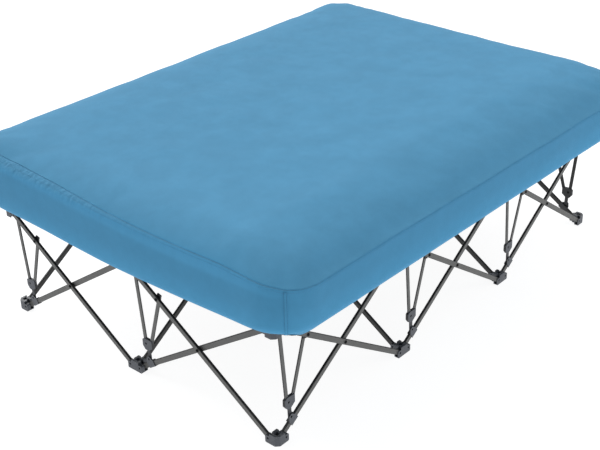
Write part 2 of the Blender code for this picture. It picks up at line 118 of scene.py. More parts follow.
# How deep the cloth's slack folds are: on the sides, in the top, and in the creases that reach in from a corner
SIDE_FOLDS, TOP_WAVES, TOP_CREASES, CREASE_REACH = 0.0056, 0.0024, 0.0011, 0.25
AIR_SETTINGS = {
    "quality": 4, "mass": 0.4, "tension_stiffness": 12, "compression_stiffness": 12, "shear_stiffness": 4,
    "bending_stiffness": 0.6, "use_pressure": True, "vertex_group_mass": "held",
}

# A corner seam: its profile in shares of half its width and in heights, and how far it ends from seam and floor
SEAM_PROFILE = ((-1.0, -0.0008), (-0.75, 0.0017), (0.0, 0.0012), (0.75, 0.0017), (1.0, -0.0008))
SEAM_HALF_WIDE, SEAM_STEPS, SEAM_ENDS = 0.0046, 60, 0.004
# The hem's casing: how far in it lies under the cover, its section and its lift
HEM_INSET, HEM_HALF_WIDE, HEM_HALF_HIGH, HEM_LIFT, HEM_SIDES = 0.034, 0.0052, 0.0026, 0.0012, 8
# Rows of stitches: the hem's to the side of its casing, and the top seam's below the piping
HEM_ROW_ASIDE, SEAM_ROW_DROP = 0.0075, 0.0065
# Where the cover's surface is looked for: from a height under it, and from so far outside it
UNDER_COVER, OUTSIDE_COVER = 0.30, 0.02
# Half of one stitch: its length as a share of the distance between stitches, and its two thicknesses
STITCH_SHARE, THREAD_HALF = 0.36, (0.00040, 0.00034)

# The studio: the floor's half side and its small drop below the feet, where the lights hang, what they look at
# and how wide they are, and how bright the camera sees the surround
FLOOR_HALF, FLOOR_DROP = 14, 0.0004
OVERHEAD_PLACE, OVERHEAD_TARGET, OVERHEAD_WIDE = (0.9, 2.9, 3.3), (0.0, 0.0, 0.4), math.radians(70)
FRONT_PLACE, FRONT_TARGET, FRONT_SIZE = (1.6, -4.2, 2.4), (0.1, 0.0, 0.4), (2.4, 1.8)
WHITE_SEEN = 1.1

Z = Vector((0, 0, 1))
SHINE_SOCKETS = {
    "sheen_weight": "Sheen Weight",
    "sheen_roughness": "Sheen Roughness",
    "specular": "Specular IOR Level",
}


# Settings


class SteelAndPlastic(bpy.types.PropertyGroup):
    """Colours and fine finish of the tubes and hubs."""

    steel: FloatVectorProperty(
        name="Steel", description="Coat of the tubes' broad faces", subtype="COLOR",
        default=(0.106, 0.106, 0.103)
    )
    steel_edge: FloatVectorProperty(
        name="Steel edges", description="Coat of the tubes' narrow faces", subtype="COLOR",
        default=(0.012, 0.012, 0.012)
    )
    # Painted shade: the tubes under the bed and the outer tubes' inward faces are darkened by this share
    inner_shade: FloatProperty(
        name="Inner tubes", description="How light the tubes under the bed are, as a share of the outer ones",
        default=0.22, min=0, subtype="FACTOR"
    )
    plastic: FloatVectorProperty(
        name="Plastic", description="Moulded hubs, brackets and clips", subtype="COLOR",
        default=(0.076, 0.083, 0.098)
    )
    cap: FloatVectorProperty(
        name="Caps", description="Black plastic caps and rivets", subtype="COLOR",
        default=(0.016, 0.016, 0.018)
    )
    edge_round: FloatProperty(
        name="Edge rounding", description="Radius of the softened edges", default=0.0006, min=0, unit="LENGTH"
    )
    rivet_radius: FloatProperty(
        name="Rivet radius", description="Radius of a rivet's dome", default=0.0036, min=0, unit="LENGTH"
    )
    rivet_rise: FloatProperty(
        name="Rivet rise", description="Height of a rivet's dome", default=0.0011, min=0, unit="LENGTH"
    )


class DeckCloth(bpy.types.PropertyGroup):
    """The fabric deck on the top hubs."""

    color: FloatVectorProperty(
        name="Deck", description="Woven cloth of the deck", subtype="COLOR", default=(0.045, 0.048, 0.054)
    )
    webbing: FloatVectorProperty(
        name="Webbing", description="Binding and patches", subtype="COLOR", default=(0.020, 0.021, 0.024)
    )
    thickness: FloatProperty(
        name="Thickness", description="Thickness of the cloth", default=0.0008, min=0, unit="LENGTH"
    )
    sag: FloatProperty(
        name="Sag", description="How far the tight cloth dips in a bay, so little that hubs slide under it",
        default=0.0004, min=0, unit="LENGTH"
    )
    binding: FloatProperty(
        name="Binding", description="Width of the binding round the edge", default=0.025, min=0, unit="LENGTH"
    )


class MattressCover(bpy.types.PropertyGroup):
    """The mattress in its fitted cover."""

    color: FloatVectorProperty(
        name="Cover", description="Brushed blue cloth", subtype="COLOR", default=(0.0725, 0.2540, 0.4200)
    )
    # Painted shade: the faces that look sideways take this darker, more saturated blue, a shaded copy of the
    # cover's colour
    shaded_side_color: FloatVectorProperty(
        name="Sides", description="The cloth where its nap stands upright", subtype="COLOR",
        default=(0.060, 0.258, 0.455)
    )
    # Painted shade: the stitches are darker than the cloth, for the shade along the seams
    thread: FloatVectorProperty(
        name="Thread", description="Stitches", subtype="COLOR", default=(0.052, 0.190, 0.325)
    )
    half_size: FloatVectorProperty(
        name="Half size", description="Half the length and half the width", size=2, unit="LENGTH",
        default=(1.0080, 0.7440)
    )
    middle: FloatVectorProperty(
        name="Middle", description="Where the mattress lies on the deck, off its middle", size=2,
        unit="LENGTH", default=(0.0152, 0.0032)
    )
    top: FloatProperty(
        name="Top", description="Height of the top's middle", default=0.6385, min=0, unit="LENGTH"
    )
    seam_long: FloatProperty(
        name="Seam on long side", description="Height of the top seam on the near long side",
        default=0.5685, min=0, unit="LENGTH"
    )
    seam_short: FloatProperty(
        name="Seam on short side", description="How much higher the seam starts on a short side",
        default=0.029, unit="LENGTH"
    )
    seam_climb: FloatProperty(
        name="Seam climb", description="How far the seam climbs along a short side", default=0.042,
        unit="LENGTH"
    )
    plan_corner: FloatProperty(
        name="Plan corner", description="Radius of the corners seen from above", default=0.145, min=0,
        unit="LENGTH"
    )
    shoulder: FloatProperty(
        name="Shoulder", description="Height of the rounding at the upper edge", default=0.056, min=0,
        unit="LENGTH"
    )
    hem: FloatProperty(
        name="Lower edge", description="Height of the rounding at the lower edge", default=0.052, min=0,
        unit="LENGTH"
    )
    bulge: FloatProperty(
        name="Bulge", description="How far the short sides' middles stand out past the corners",
        default=0.012, min=0, unit="LENGTH"
    )
    slope: FloatProperty(
        name="Slope", description="How far the top falls towards its near long edge", default=0.046, min=0,
        unit="LENGTH"
    )
    slope_wide: FloatProperty(
        name="Slope width", description="Width of that fall", default=0.27, min=0.01, unit="LENGTH"
    )
    raised: FloatProperty(
        name="Raised corner", description="How much higher the fuller corner of the mattress is",
        default=0.019, min=0, unit="LENGTH"
    )
    skew: FloatProperty(
        name="Fuller corner", description="How far that corner stands out", default=0.042, unit="LENGTH"
    )
    lifted: FloatProperty(
        name="Lifted edge", description="How far the lower edge of the short sides rises", default=0.022,
        unit="LENGTH"
    )
    overhang: FloatProperty(
        name="Overhang", description="How far the lower edge hangs past the deck", default=0.008,
        unit="LENGTH"
    )
    groove: FloatProperty(
        name="Seam groove", description="How deep the seam sinks into the padding", default=0.0026, min=0,
        unit="LENGTH"
    )
    swell: FloatProperty(
        name="Swell", description="The most that the air pressure moves any point", default=0.009, min=0,
        unit="LENGTH"
    )
    pressure: FloatProperty(
        name="Pressure", description="Air pressure in the cloth simulation", default=4.0, min=0
    )
    steps: IntProperty(name="Steps", description="Frames of the cloth simulation", default=20, min=1)
    piping: FloatProperty(
        name="Piping", description="Radius of the cord in the top seam", default=0.0012, min=0,
        unit="LENGTH"
    )
    stitch: FloatProperty(
        name="Stitch", description="Distance from one stitch to the next", default=0.0045, min=0.001,
        unit="LENGTH"
    )


class StudioStage(bpy.types.PropertyGroup):
    """Floor, lights and camera."""

    floor: FloatVectorProperty(
        name="Floor", description="Pale studio floor", subtype="COLOR", default=(0.24, 0.24, 0.24)
    )
    floor_glow: FloatProperty(
        name="Floor glow", description="Light that the floor gives off, as a light table does",
        default=0.90, min=0
    )
    sky: FloatProperty(
        name="Surround", description="Strength of the even white surround", default=0.455, min=0
    )
    overhead: FloatProperty(
        name="Overhead", description="Strength of the wide overhead light, from behind", default=3.1, min=0
    )
    front: FloatProperty(
        name="Front", description="Power of the softbox by the camera in watts", default=32, min=0
    )
    place: FloatVectorProperty(
        name="Camera place", description="Where the camera stands", subtype="TRANSLATION", unit="LENGTH",
        default=(-2.69836, -2.30493, 1.98210)
    )
    turns: FloatVectorProperty(
        name="Camera turns", description="Roll, tilt and heading of the camera", subtype="EULER",
        unit="ROTATION",
        default=(math.radians(-1.40595), math.radians(63.43034), math.radians(-48.47021))
    )
    lens: FloatProperty(name="Lens", description="Focal length in millimetres", default=65.308, min=1)
    shift: FloatVectorProperty(
        name="Shift", description="Sideways and upward shift of the frame", size=2,
        default=(-0.0007, -0.0211)
    )


# Small tools for meshes and shader nodes


def new_object(name, shape):
    """An object in the scene from a bmesh, which is freed."""
    mesh = bpy.data.meshes.new(name)
    shape.to_mesh(mesh)
    shape.free()
    obj = bpy.data.objects.new(name, mesh)
    bpy.context.scene.collection.objects.link(obj)
    return obj


def smooth(obj):
    for face in obj.data.polygons:
        face.use_smooth = True


def join_rings(shape, ring, following):
    """Faces between two closed rings of equally many points."""
    for k in range(len(ring)):
        other = (k + 1) % len(ring)
        shape.faces.new((ring[k], following[k], following[other], ring[other]))


def give(obj, material, body):
    """Gives a new piece its material and the body it rides on."""
    obj.data.materials.clear()
    obj.data.materials.append(material)
    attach(obj, body)


def ease(value):
    """A smooth step from 0 to 1 as the value goes from 0 to 1."""
    held = max(0.0, min(1.0, value))
    return held * held * (3 - 2 * held)


def feed(tree, inputs, values):
    """Feeds inputs, by their names or numbers, with sockets or plain values."""
    for key, value in dict(values).items():
        if isinstance(value, bpy.types.NodeSocket):
            tree.links.new(value, inputs[key])
        else:
            inputs[key].default_value = value


def node(tree, kind, values=(), **settings):
    """A shader node with its settings, fed with its values."""
    made = tree.nodes.new(kind)
    for name, value in settings.items():
        setattr(made, name, value)
    feed(tree, made.inputs, values)
    return made


def calc(tree, operation, *values):
    """The output of a Math node on sockets or numbers."""
    return node(tree, "ShaderNodeMath", enumerate(values), operation=operation).outputs[0]


def times(tree, first, *others):
    """The product of sockets or numbers."""
    for other in others:
        first = calc(tree, "MULTIPLY", first, other)
    return first


def own_place(tree):
    """The surface's own place, which moves with its piece."""
    return node(tree, "ShaderNodeTexCoord").outputs["Object"]


def parts_of(tree, kind):
    """The three parts of the surface's own place, kind Object, or of its direction, kind Normal."""
    vector = node(tree, "ShaderNodeTexCoord").outputs[kind]
    return node(tree, "ShaderNodeSeparateXYZ", {0: vector}).outputs


def ramp(tree, value, low, high, to_low=0.0, to_high=1.0):
    """A value eased from one range to another and held at its ends."""
    made = node(
        tree, "ShaderNodeMapRange",
        {"Value": value, "From Min": low, "From Max": high, "To Min": to_low, "To Max": to_high},
        interpolation_type="SMOOTHSTEP",
    )
    return made.outputs["Result"]


def mix_color(tree, factor, first, second, blend="MIX"):
    """The colour output of a Mix node, whose colours are its inputs 6 and 7."""
    values = {0: factor, 6: first, 7: second}
    return node(tree, "ShaderNodeMix", values, data_type="RGBA", blend_type=blend).outputs[2]


def noise_at(tree, vector, scale, detail=3.0, rough=0.55, distortion=0.0):
    made = node(
        tree, "ShaderNodeTexNoise",
        {"Vector": vector, "Scale": scale, "Detail": detail, "Roughness": rough, "Distortion": distortion},
    )
    return made.outputs["Fac"]


def new_group(name, inputs, outputs):
    """A shader node group of numbers, and a Normal, with its outer sockets. inputs are (name, default) rows."""
    tree = bpy.data.node_groups.new(name, "ShaderNodeTree")
    for title, default in inputs:
        socket = tree.interface.new_socket(title, in_out="INPUT", socket_type="NodeSocketFloat")
        socket.default_value = default
    for title in outputs:
        kind = "NodeSocketVector" if title == "Normal" else "NodeSocketFloat"
        tree.interface.new_socket(title, in_out="OUTPUT", socket_type=kind)
    return tree, tree.nodes.new("NodeGroupInput").outputs, tree.nodes.new("NodeGroupOutput").inputs


def use_group(tree, name, values):
    """Places a shared group in a material and returns its outputs."""
    return node(tree, "ShaderNodeGroup", values, node_tree=bpy.data.node_groups[name]).outputs


def thread_pair(tree, along, across):
    """Height of a plain weave in one plane: warp and weft change places from square to square."""
    warp, weft = [
        calc(tree, "ABSOLUTE", calc(tree, "SINE", times(tree, run, math.pi))) for run in (along, across)
    ]
    squares = calc(tree, "ADD", calc(tree, "FLOOR", along), calc(tree, "FLOOR", across))
    over = calc(tree, "PINGPONG", squares, 1.0)
    return calc(tree, "ADD", weft, times(tree, over, calc(tree, "SUBTRACT", warp, weft)))


def build_weave_group():
    """Plain weave on any face: each main plane has its own pattern, chosen by the surface's own normal."""
    tree, given, out = new_group("plain_weave", [("Threads per metre", 900.0)], ["Height", "Gap shade"])
    scaled = node(tree, "ShaderNodeVectorMath", {0: own_place(tree), "Scale": given[0]}, operation="SCALE")
    at = node(tree, "ShaderNodeSeparateXYZ", {0: scaled.outputs[0]}).outputs
    size = [calc(tree, "ABSOLUTE", part) for part in parts_of(tree, "Normal")]
    flat_z = calc(tree, "GREATER_THAN", size[2], calc(tree, "MAXIMUM", size[0], size[1]))
    upright = calc(tree, "SUBTRACT", 1.0, flat_z)
    flat_x = times(tree, calc(tree, "GREATER_THAN", size[0], size[1]), upright)
    flat_y = calc(tree, "SUBTRACT", upright, flat_x)
    height = times(tree, flat_z, thread_pair(tree, at[0], at[1]))
    height = calc(tree, "ADD", height, times(tree, flat_x, thread_pair(tree, at[1], at[2])))
    height = calc(tree, "ADD", height, times(tree, flat_y, thread_pair(tree, at[0], at[2])))
    # The gap mask is used for painted shade between the threads
    feed(tree, out, {"Height": height, "Gap shade": ramp(tree, height, 0.0, 0.45, 1.0, 0.0)})


def build_nap_group():
    """Brushed nap: short fibres in drifting directions, with broad patches where it was stroked."""
    tree, given, out = new_group(
        "brushed_nap", [("Fibre scale", 700.0), ("Patch scale", 7.0)], ["Fibre", "Patch"]
    )
    place = own_place(tree)
    patch = ramp(tree, noise_at(tree, place, given[1], 4.0, 0.5, 0.2), 0.3, 0.7)
    feed(tree, out, {"Fibre": noise_at(tree, place, given[0], 2.0, 0.6, 0.4), "Patch": patch})


def build_edge_group():
    """Softened edges for hard pieces: a rounded normal, and a broken mask along the edges, where colour is
    lightened as wear and as a painted highlight.
    """
    tree, given, out = new_group("worn_highlit_edge", [("Radius", 0.0006)], ["Normal", "Worn and highlit"])
    rounded = node(tree, "ShaderNodeBevel", {"Radius": given[0]}, samples=4).outputs[0]
    sharp = node(tree, "ShaderNodeNewGeometry").outputs["Normal"]
    agree = node(tree, "ShaderNodeVectorMath", {0: rounded, 1: sharp}, operation="DOT_PRODUCT")
    broken = ramp(tree, noise_at(tree, own_place(tree), 160.0, 3.0), 0.42, 0.62)
    edge = ramp(tree, agree.outputs["Value"], 0.995, 0.80)
    feed(tree, out, {"Normal": rounded, "Worn and highlit": times(tree, edge, broken)})


def build_dust_group():
    """Dust that settles on faces which look upwards, thickest near the floor."""
    tree, given, out = new_group("settled_dust", [("Amount", 0.3)], ["Dust"])
    up = ramp(tree, parts_of(tree, "Normal")[2], 0.2, 0.9)
    low = ramp(tree, parts_of(tree, "Object")[2], 0.30, 0.02, 0.35, 1.0)
    specks = ramp(tree, noise_at(tree, own_place(tree), 95.0, 6.0, 0.7), 0.40, 0.75)
    feed(tree, out, {"Dust": times(tree, up, low, specks, given[0])})


def build_grain_group():
    """Fine even relief of moulded plastic or a powder coat, and slow changes in how it shines."""
    tree, given, out = new_group("fine_grain", [("Grain scale", 1400.0)], ["Height", "Cloud"])
    place = own_place(tree)
    cloud = noise_at(tree, place, 22.0, 4.0, 0.6)
    feed(tree, out, {"Height": noise_at(tree, place, given[0], 2.0, 0.5), "Cloud": cloud})


def new_material(name, roughness, metallic=0.0, **shine):
    """A material with its Principled shader's even values, its tree, and the shader's inputs."""
    material = bpy.data.materials.new(name)
    material.use_nodes = True
    tree = material.node_tree
    shader = tree.nodes["Principled BSDF"].inputs
    feed(tree, shader, {"Roughness": roughness, "Metallic": metallic})
    feed(tree, shader, {SHINE_SOCKETS[key]: value for key, value in shine.items()})
    return material, tree, shader


def bump(tree, height, strength, distance, normal=None):
    """The normal of a Bump node, laid over another normal if one is given."""
    values = {"Height": height, "Strength": strength, "Distance": distance}
    if normal is not None:
        values["Normal"] = normal
    return node(tree, "ShaderNodeBump", values).outputs["Normal"]


def tone(color, share=1.0):
    """A colour made darker or lighter by a share, with its alpha."""
    return (*[min(1.0, channel * share) for channel in color], 1.0)


# Finishes


def across_bay(tree, axis, outwards):
    """A mask of the faces across a bay, whose axis is 0 for X or 1 for Y: both, or the outward ones."""
    facing = parts_of(tree, "Normal")[axis]
    if outwards:
        facing = times(tree, facing, calc(tree, "SIGN", parts_of(tree, "Object")[axis]))
    else:
        facing = calc(tree, "ABSOLUTE", facing)
    return ramp(tree, facing, 0.90, 0.97)


def from_point(tree, at):
    """How far a place is from the nearest lattice point, seen from above."""
    x = calc(tree, "WRAP", calc(tree, "SUBTRACT", at[0], BAY / 2), BAY / 2, -BAY / 2)
    y = calc(tree, "WRAP", at[1], BAY / 2, -BAY / 2)
    return calc(tree, "SQRT", calc(tree, "ADD", times(tree, x, x), times(tree, y, y)))


def coated_steel(looks, axis, on_edge, rises):
    """Powder coat: grey on outer broad faces, near black on narrow faces, painted shade on inward faces and
    inner tubes.

    Edges are rubbed lighter, partly wear and partly a painted highlight. A rising tube on the edge also carries
    the plastic clip.
    """
    metal = 0.25
    place = f"{'xy'[axis]}_{'edge' if on_edge else 'inner'}_{'rising' if rises else 'falling'}"
    material, tree, shader = new_material(f"coated_steel_{place}", 0.46, metal)
    edge = use_group(tree, "worn_highlit_edge", {"Radius": looks.edge_round})
    grain = use_group(tree, "fine_grain", {"Grain scale": 1100.0})
    dust = use_group(tree, "settled_dust", {"Amount": 0.14})
    outer = across_bay(tree, axis, True) if on_edge else 0.0
    face = mix_color(tree, grain["Cloud"], tone(looks.steel, 0.90), tone(looks.steel, 1.10))
    # Painted shade: broad faces that look inwards, and those of every tube under the bed, take the steel colour
    # darkened by inner_shade
    face = mix_color(tree, outer, tone(looks.steel, looks.inner_shade), face)
    color = mix_color(tree, across_bay(tree, axis, False), tone(looks.steel_edge), face)
    # Lighter edges: partly wear and partly a painted highlight
    color = mix_color(tree, times(tree, edge["Worn and highlit"], 0.40), color, tone(looks.steel, 2.2))
    if on_edge and rises:
        at = parts_of(tree, "Object")
        out = times(tree, calc(tree, "SUBTRACT", from_point(tree, at), HUB_REACH), math.cos(TUBE_ANGLE))
        up = times(tree, calc(tree, "SUBTRACT", at[2], FOOT_PIVOT), math.sin(TUBE_ANGLE))
        along = calc(tree, "ADD", out, up)
        clip = times(tree, calc(tree, "GREATER_THAN", along, CLIP_SPAN[0]),
                     calc(tree, "LESS_THAN", along, CLIP_SPAN[1]))
        lobe = mix_color(tree, grain["Cloud"], tone(looks.plastic, 0.90), tone(looks.plastic, 1.16))
        # Painted shade: the clip's faces that look inwards are darker
        plastic = mix_color(tree, outer, tone(looks.plastic, 0.22), lobe)
        # Lighter edges: partly wear and partly a painted highlight
        plastic = mix_color(tree, times(tree, edge["Worn and highlit"], 0.6), plastic, tone(looks.plastic, 2.4))
        color = mix_color(tree, clip, color, plastic)
        feed(tree, shader, {"Metallic": calc(tree, "SUBTRACT", metal, times(tree, clip, metal))})
    color = mix_color(tree, dust["Dust"], color, (0.40, 0.38, 0.35, 1))
    feed(tree, shader, {
        "Base Color": color,
        "Roughness": ramp(tree, grain["Cloud"], 0.2, 0.8, 0.38, 0.55),
        "Normal": bump(tree, grain["Height"], 0.12, 0.0003, edge["Normal"]),
    })
    return material


def moulded_plastic(looks, axis):
    """Slate plastic with fine grain. Between hub and bracket the node is bare steel, and at its end a cap."""
    material, tree, shader = new_material(f"moulded_plastic_{'xy'[axis]}", 0.5)
    edge = use_group(tree, "worn_highlit_edge", {"Radius": looks.edge_round})
    grain = use_group(tree, "fine_grain", {"Grain scale": 1500.0})
    dust = use_group(tree, "settled_dust", {"Amount": 0.45})
    at = parts_of(tree, "Object")
    cap = times(tree, calc(tree, "GREATER_THAN", at[2], BRACE_CAP[0]),
                calc(tree, "GREATER_THAN", from_point(tree, at), BRACE_CAP[1]))
    above = calc(tree, "GREATER_THAN", at[2], BRACE_STEEL[0])
    below = calc(tree, "LESS_THAN", at[2], BRACE_STEEL[1])
    steel = times(tree, above, below, calc(tree, "SUBTRACT", 1.0, cap))
    broad = across_bay(tree, axis, True)
    plastic = mix_color(tree, grain["Cloud"], tone(looks.plastic, 0.86), tone(looks.plastic, 1.12))
    # Past the hub, the bracket's faces other than its outward face are darker, which on its inward faces is
    # painted shade. The faces that look up are darker too, as painted shade for the moulding's hollows, and the
    # arm is darker than the face.
    past_hub = times(tree, calc(tree, "GREATER_THAN", at[2], HUB_TOP), calc(tree, "SUBTRACT", 1.0, above))
    arm = times(tree, past_hub, calc(tree, "LESS_THAN", at[2], BRACKET_LOW))
    sides = times(tree, past_hub, calc(tree, "SUBTRACT", 1.0, broad))
    hollow_shade = times(tree, calc(tree, "GREATER_THAN", parts_of(tree, "Normal")[2], 0.8), 0.55)
    plastic = mix_color(tree, times(tree, arm, 0.75), plastic, tone(looks.cap, 1.2))
    plastic = mix_color(tree, calc(tree, "MAXIMUM", sides, hollow_shade), plastic, tone(looks.plastic, 0.22))
    # Lighter edges: partly wear and partly a painted highlight
    plastic = mix_color(tree, times(tree, edge["Worn and highlit"], 0.6), plastic, tone(looks.plastic, 2.4))
    # The bare steel is grey on its outward face and near black on its other faces; on the face that looks
    # inwards that is painted shade
    color = mix_color(tree, steel, plastic, mix_color(tree, broad, tone(looks.steel_edge), tone(looks.steel)))
    color = mix_color(tree, cap, color, tone(looks.cap))
    color = mix_color(tree, dust["Dust"], color, (0.36, 0.35, 0.33, 1))
    feed(tree, shader, {
        "Base Color": color,
        "Roughness": ramp(tree, grain["Cloud"], 0.2, 0.8, 0.42, 0.62),
        "Normal": bump(tree, grain["Height"], 0.25, 0.0003, edge["Normal"]),
    })
    return material


def dark_rivet(looks):
    """Blackened steel rivet, turned marks on its dome."""
    material, tree, shader = new_material("dark_rivet", 0.6, specular=0.04)
    grain = use_group(tree, "fine_grain", {"Grain scale": 2600.0})
    color = mix_color(tree, grain["Cloud"], tone(looks.cap, 0.25), tone(looks.cap, 0.8))
    feed(tree, shader, {
        "Base Color": color,
        "Roughness": ramp(tree, grain["Cloud"], 0.2, 0.8, 0.52, 0.68),
        "Normal": bump(tree, grain["Height"], 0.2, 0.0002),
    })
    return material


def brushed_cover(looks):
    """Brushed blue cloth: soft nap over a fine weave, puckers below the seam, with painted shade and painted
    light on the sides.
    """
    material, tree, shader = new_material(
        "brushed_blue_cloth", 0.92, sheen_weight=0.10, sheen_roughness=0.45, specular=0.2
    )
    feed(tree, shader, {"Sheen Tint": (0.55, 0.78, 1.0, 1.0)})
    weave = use_group(tree, "plain_weave", {"Threads per metre": 950.0})
    nap = use_group(tree, "brushed_nap", {"Fibre scale": 520.0, "Patch scale": 9.0})
    place = own_place(tree)
    at = parts_of(tree, "Object")
    half_long, half_wide = looks.half_size
    # The seam climbs along the short sides, so the band of puckers below it does too
    short = ramp(tree, calc(tree, "ABSOLUTE", at[0]), SEAM_TURN * half_long, half_long)
    climb = ramp(tree, at[1], SEAM_CLIMB[0] * half_wide, SEAM_CLIMB[1] * half_wide, 0.0, looks.seam_climb)
    seam = calc(tree, "ADD", looks.seam_long, times(tree, climb, SEAM_SHARED))
    extra = calc(tree, "ADD", looks.seam_short, times(tree, climb, 1 - SEAM_SHARED))
    seam = calc(tree, "ADD", seam, times(tree, short, extra))
    drop = calc(tree, "SUBTRACT", seam, at[2])
    below_seam = times(tree, ramp(tree, drop, 0.058, 0.006), calc(tree, "GREATER_THAN", drop, 0.002))
    upwards = calc(tree, "ABSOLUTE", parts_of(tree, "Normal")[2])
    sideways = ramp(tree, upwards, 1.0, 0.40)
    # Painted light: a lighter band below the seam on the short sides, for the light on the rounding there
    band = times(tree, short, ramp(tree, drop, 0.062, 0.036))
    # Painted shade: faces that look sideways take the shaded side colour, save in the lit band on the short
    # sides
    side_shade_mask = times(tree, sideways, calc(tree, "SUBTRACT", 1.0, times(tree, band, 0.8)))
    stretched = node(tree, "ShaderNodeVectorMath", {0: place, 1: (70.0, 70.0, 8.0)}, operation="MULTIPLY")
    gathered = calc(tree, "ADD", 0.10, times(tree, short, ramp(tree, at[1], -0.35, 0.55, 0.10, 0.9)))
    pucker = calc(tree, "SUBTRACT", noise_at(tree, stretched.outputs[0], 1.0, 1.5, 0.5, 0.3), 0.5)
    pucker = times(tree, pucker, below_seam, gathered)
    color = mix_color(tree, nap["Patch"], tone(looks.color, 0.955), tone(looks.color, 1.045))
    # Painted light: the sides are lighter near the floor, for the light it sends up
    lower = ramp(tree, at[2], 0.52, 0.43)
    side = mix_color(tree, lower, tone(looks.shaded_side_color, 0.99), tone(looks.shaded_side_color, 1.24))
    lit_band_color = mix_color(tree, band, side, tone(looks.shaded_side_color, 1.26))
    color = mix_color(tree, side_shade_mask, mix_color(tree, sideways, color, lit_band_color), side)
    mottled = ramp(tree, noise_at(tree, place, 26.0, 4.0, 0.6, 0.3), 0.3, 0.7, -1.0, 1.0)
    shade = calc(tree, "ADD", 1.0, times(tree, mottled, 0.028))
    grey = node(tree, "ShaderNodeCombineXYZ", {0: shade, 1: shade, 2: shade}).outputs[0]
    color = mix_color(tree, 1.0, color, grey, "MULTIPLY")
    color = mix_color(tree, times(tree, nap["Fibre"], 0.30), color, tone(looks.color, 1.18))
    # Painted shade between the threads
    color = mix_color(tree, times(tree, weave["Gap shade"], 0.16), color, tone(looks.color, 0.60))
    # Painted shade in the puckers below the seam
    color = mix_color(tree, times(tree, pucker, 0.45), color, tone(looks.color, 0.7))
    relief = bump(tree, pucker, 1.0, 0.009)
    relief = bump(tree, nap["Fibre"], 0.25, 0.0006, relief)
    feed(tree, shader, {
        "Base Color": color,
        "Roughness": ramp(tree, nap["Fibre"], 0.3, 0.7, 0.84, 0.97),
        "Normal": bump(tree, weave["Height"], 0.30, 0.0003, relief),
    })
    return material


def plain_cloth(name, color, threads, light=1.0):
    """Woven cloth of the deck, its webbing, the piping or the thread, by its colour and thread count; light
    below 1 is painted shade.
    """
    material, tree, shader = new_material(name, 0.85, sheen_weight=0.08, sheen_roughness=0.5)
    weave = use_group(tree, "plain_weave", {"Threads per metre": threads})
    nap = use_group(tree, "brushed_nap", {"Fibre scale": 900.0, "Patch scale": 12.0})
    base = mix_color(tree, nap["Patch"], tone(color, 0.88 * light), tone(color, 1.12 * light))
    feed(tree, shader, {
        # Painted shade between the threads
        "Base Color": mix_color(tree, weave["Gap shade"], base, tone(color, 0.5 * light)),
        "Roughness": ramp(tree, nap["Fibre"], 0.3, 0.7, 0.78, 0.92),
        "Normal": bump(tree, weave["Height"], 0.5, 0.0005),
    })
    return material


# Where things are on the frame


def at_point(column, row):
    return Vector(((column - BAYS_LONG / 2) * BAY, (row - BAYS_WIDE / 2) * BAY, 0))


def label(column, row):
    return f"{column + 1}{row + 1}"


def lattice_points():
    """Every lattice point, as column and row."""
    return [(column, row) for column in range(BAYS_LONG + 1) for row in range(BAYS_WIDE + 1)]


def bays():
    """Each bay's first and last lattice point and whether it lies on the edge, as the frame was built."""
    found = []
    for column in range(BAYS_LONG):
        found.append(((column, 0), (column + 1, 0), True))
        found.append(((column + 1, BAYS_WIDE), (column, BAYS_WIDE), True))
        for row in range(1, BAYS_WIDE):
            found.append(((column, row), (column + 1, row), False))
    for row in range(BAYS_WIDE):
        found.append(((BAYS_LONG, row), (BAYS_LONG, row + 1), True))
        found.append(((0, row + 1), (0, row), True))
        for column in range(1, BAYS_LONG):
            found.append(((column, row), (column, row + 1), False))
    return found


def across_axis(start, end):
    """The axis across a bay: 1 for Y where the bay runs along X, or else 0 for X."""
    return 1 if start[1] == end[1] else 0


def brace_axis(point):
    """The outward axis of the edge bay that starts at a lattice point."""
    for start, end, on_edge in bays():
        if on_edge and start == point:
            return across_axis(start, end)
    return 1


def place_in_bay(start, end, along, height, out):
    """A point of a bay: so far from its first lattice point, so high, and so far out of its plane."""
    first, last = at_point(*start), at_point(*end)
    direction = (last - first).normalized()
    return first + direction * along + Z * height + direction.cross(Z) * out


def along_tube(falls, distance, above=0.0):
    """Reach and height of a point on a tube, counted from the end that its bay starts with."""
    turn = -TUBE_ANGLE if falls else TUBE_ANGLE
    pivot = Vector((HUB_REACH, TOP_PIVOT if falls else FOOT_PIVOT))
    line = Vector((math.cos(turn), math.sin(turn)))
    return pivot + line * distance + Vector((-line.y, line.x)) * above


# Operators


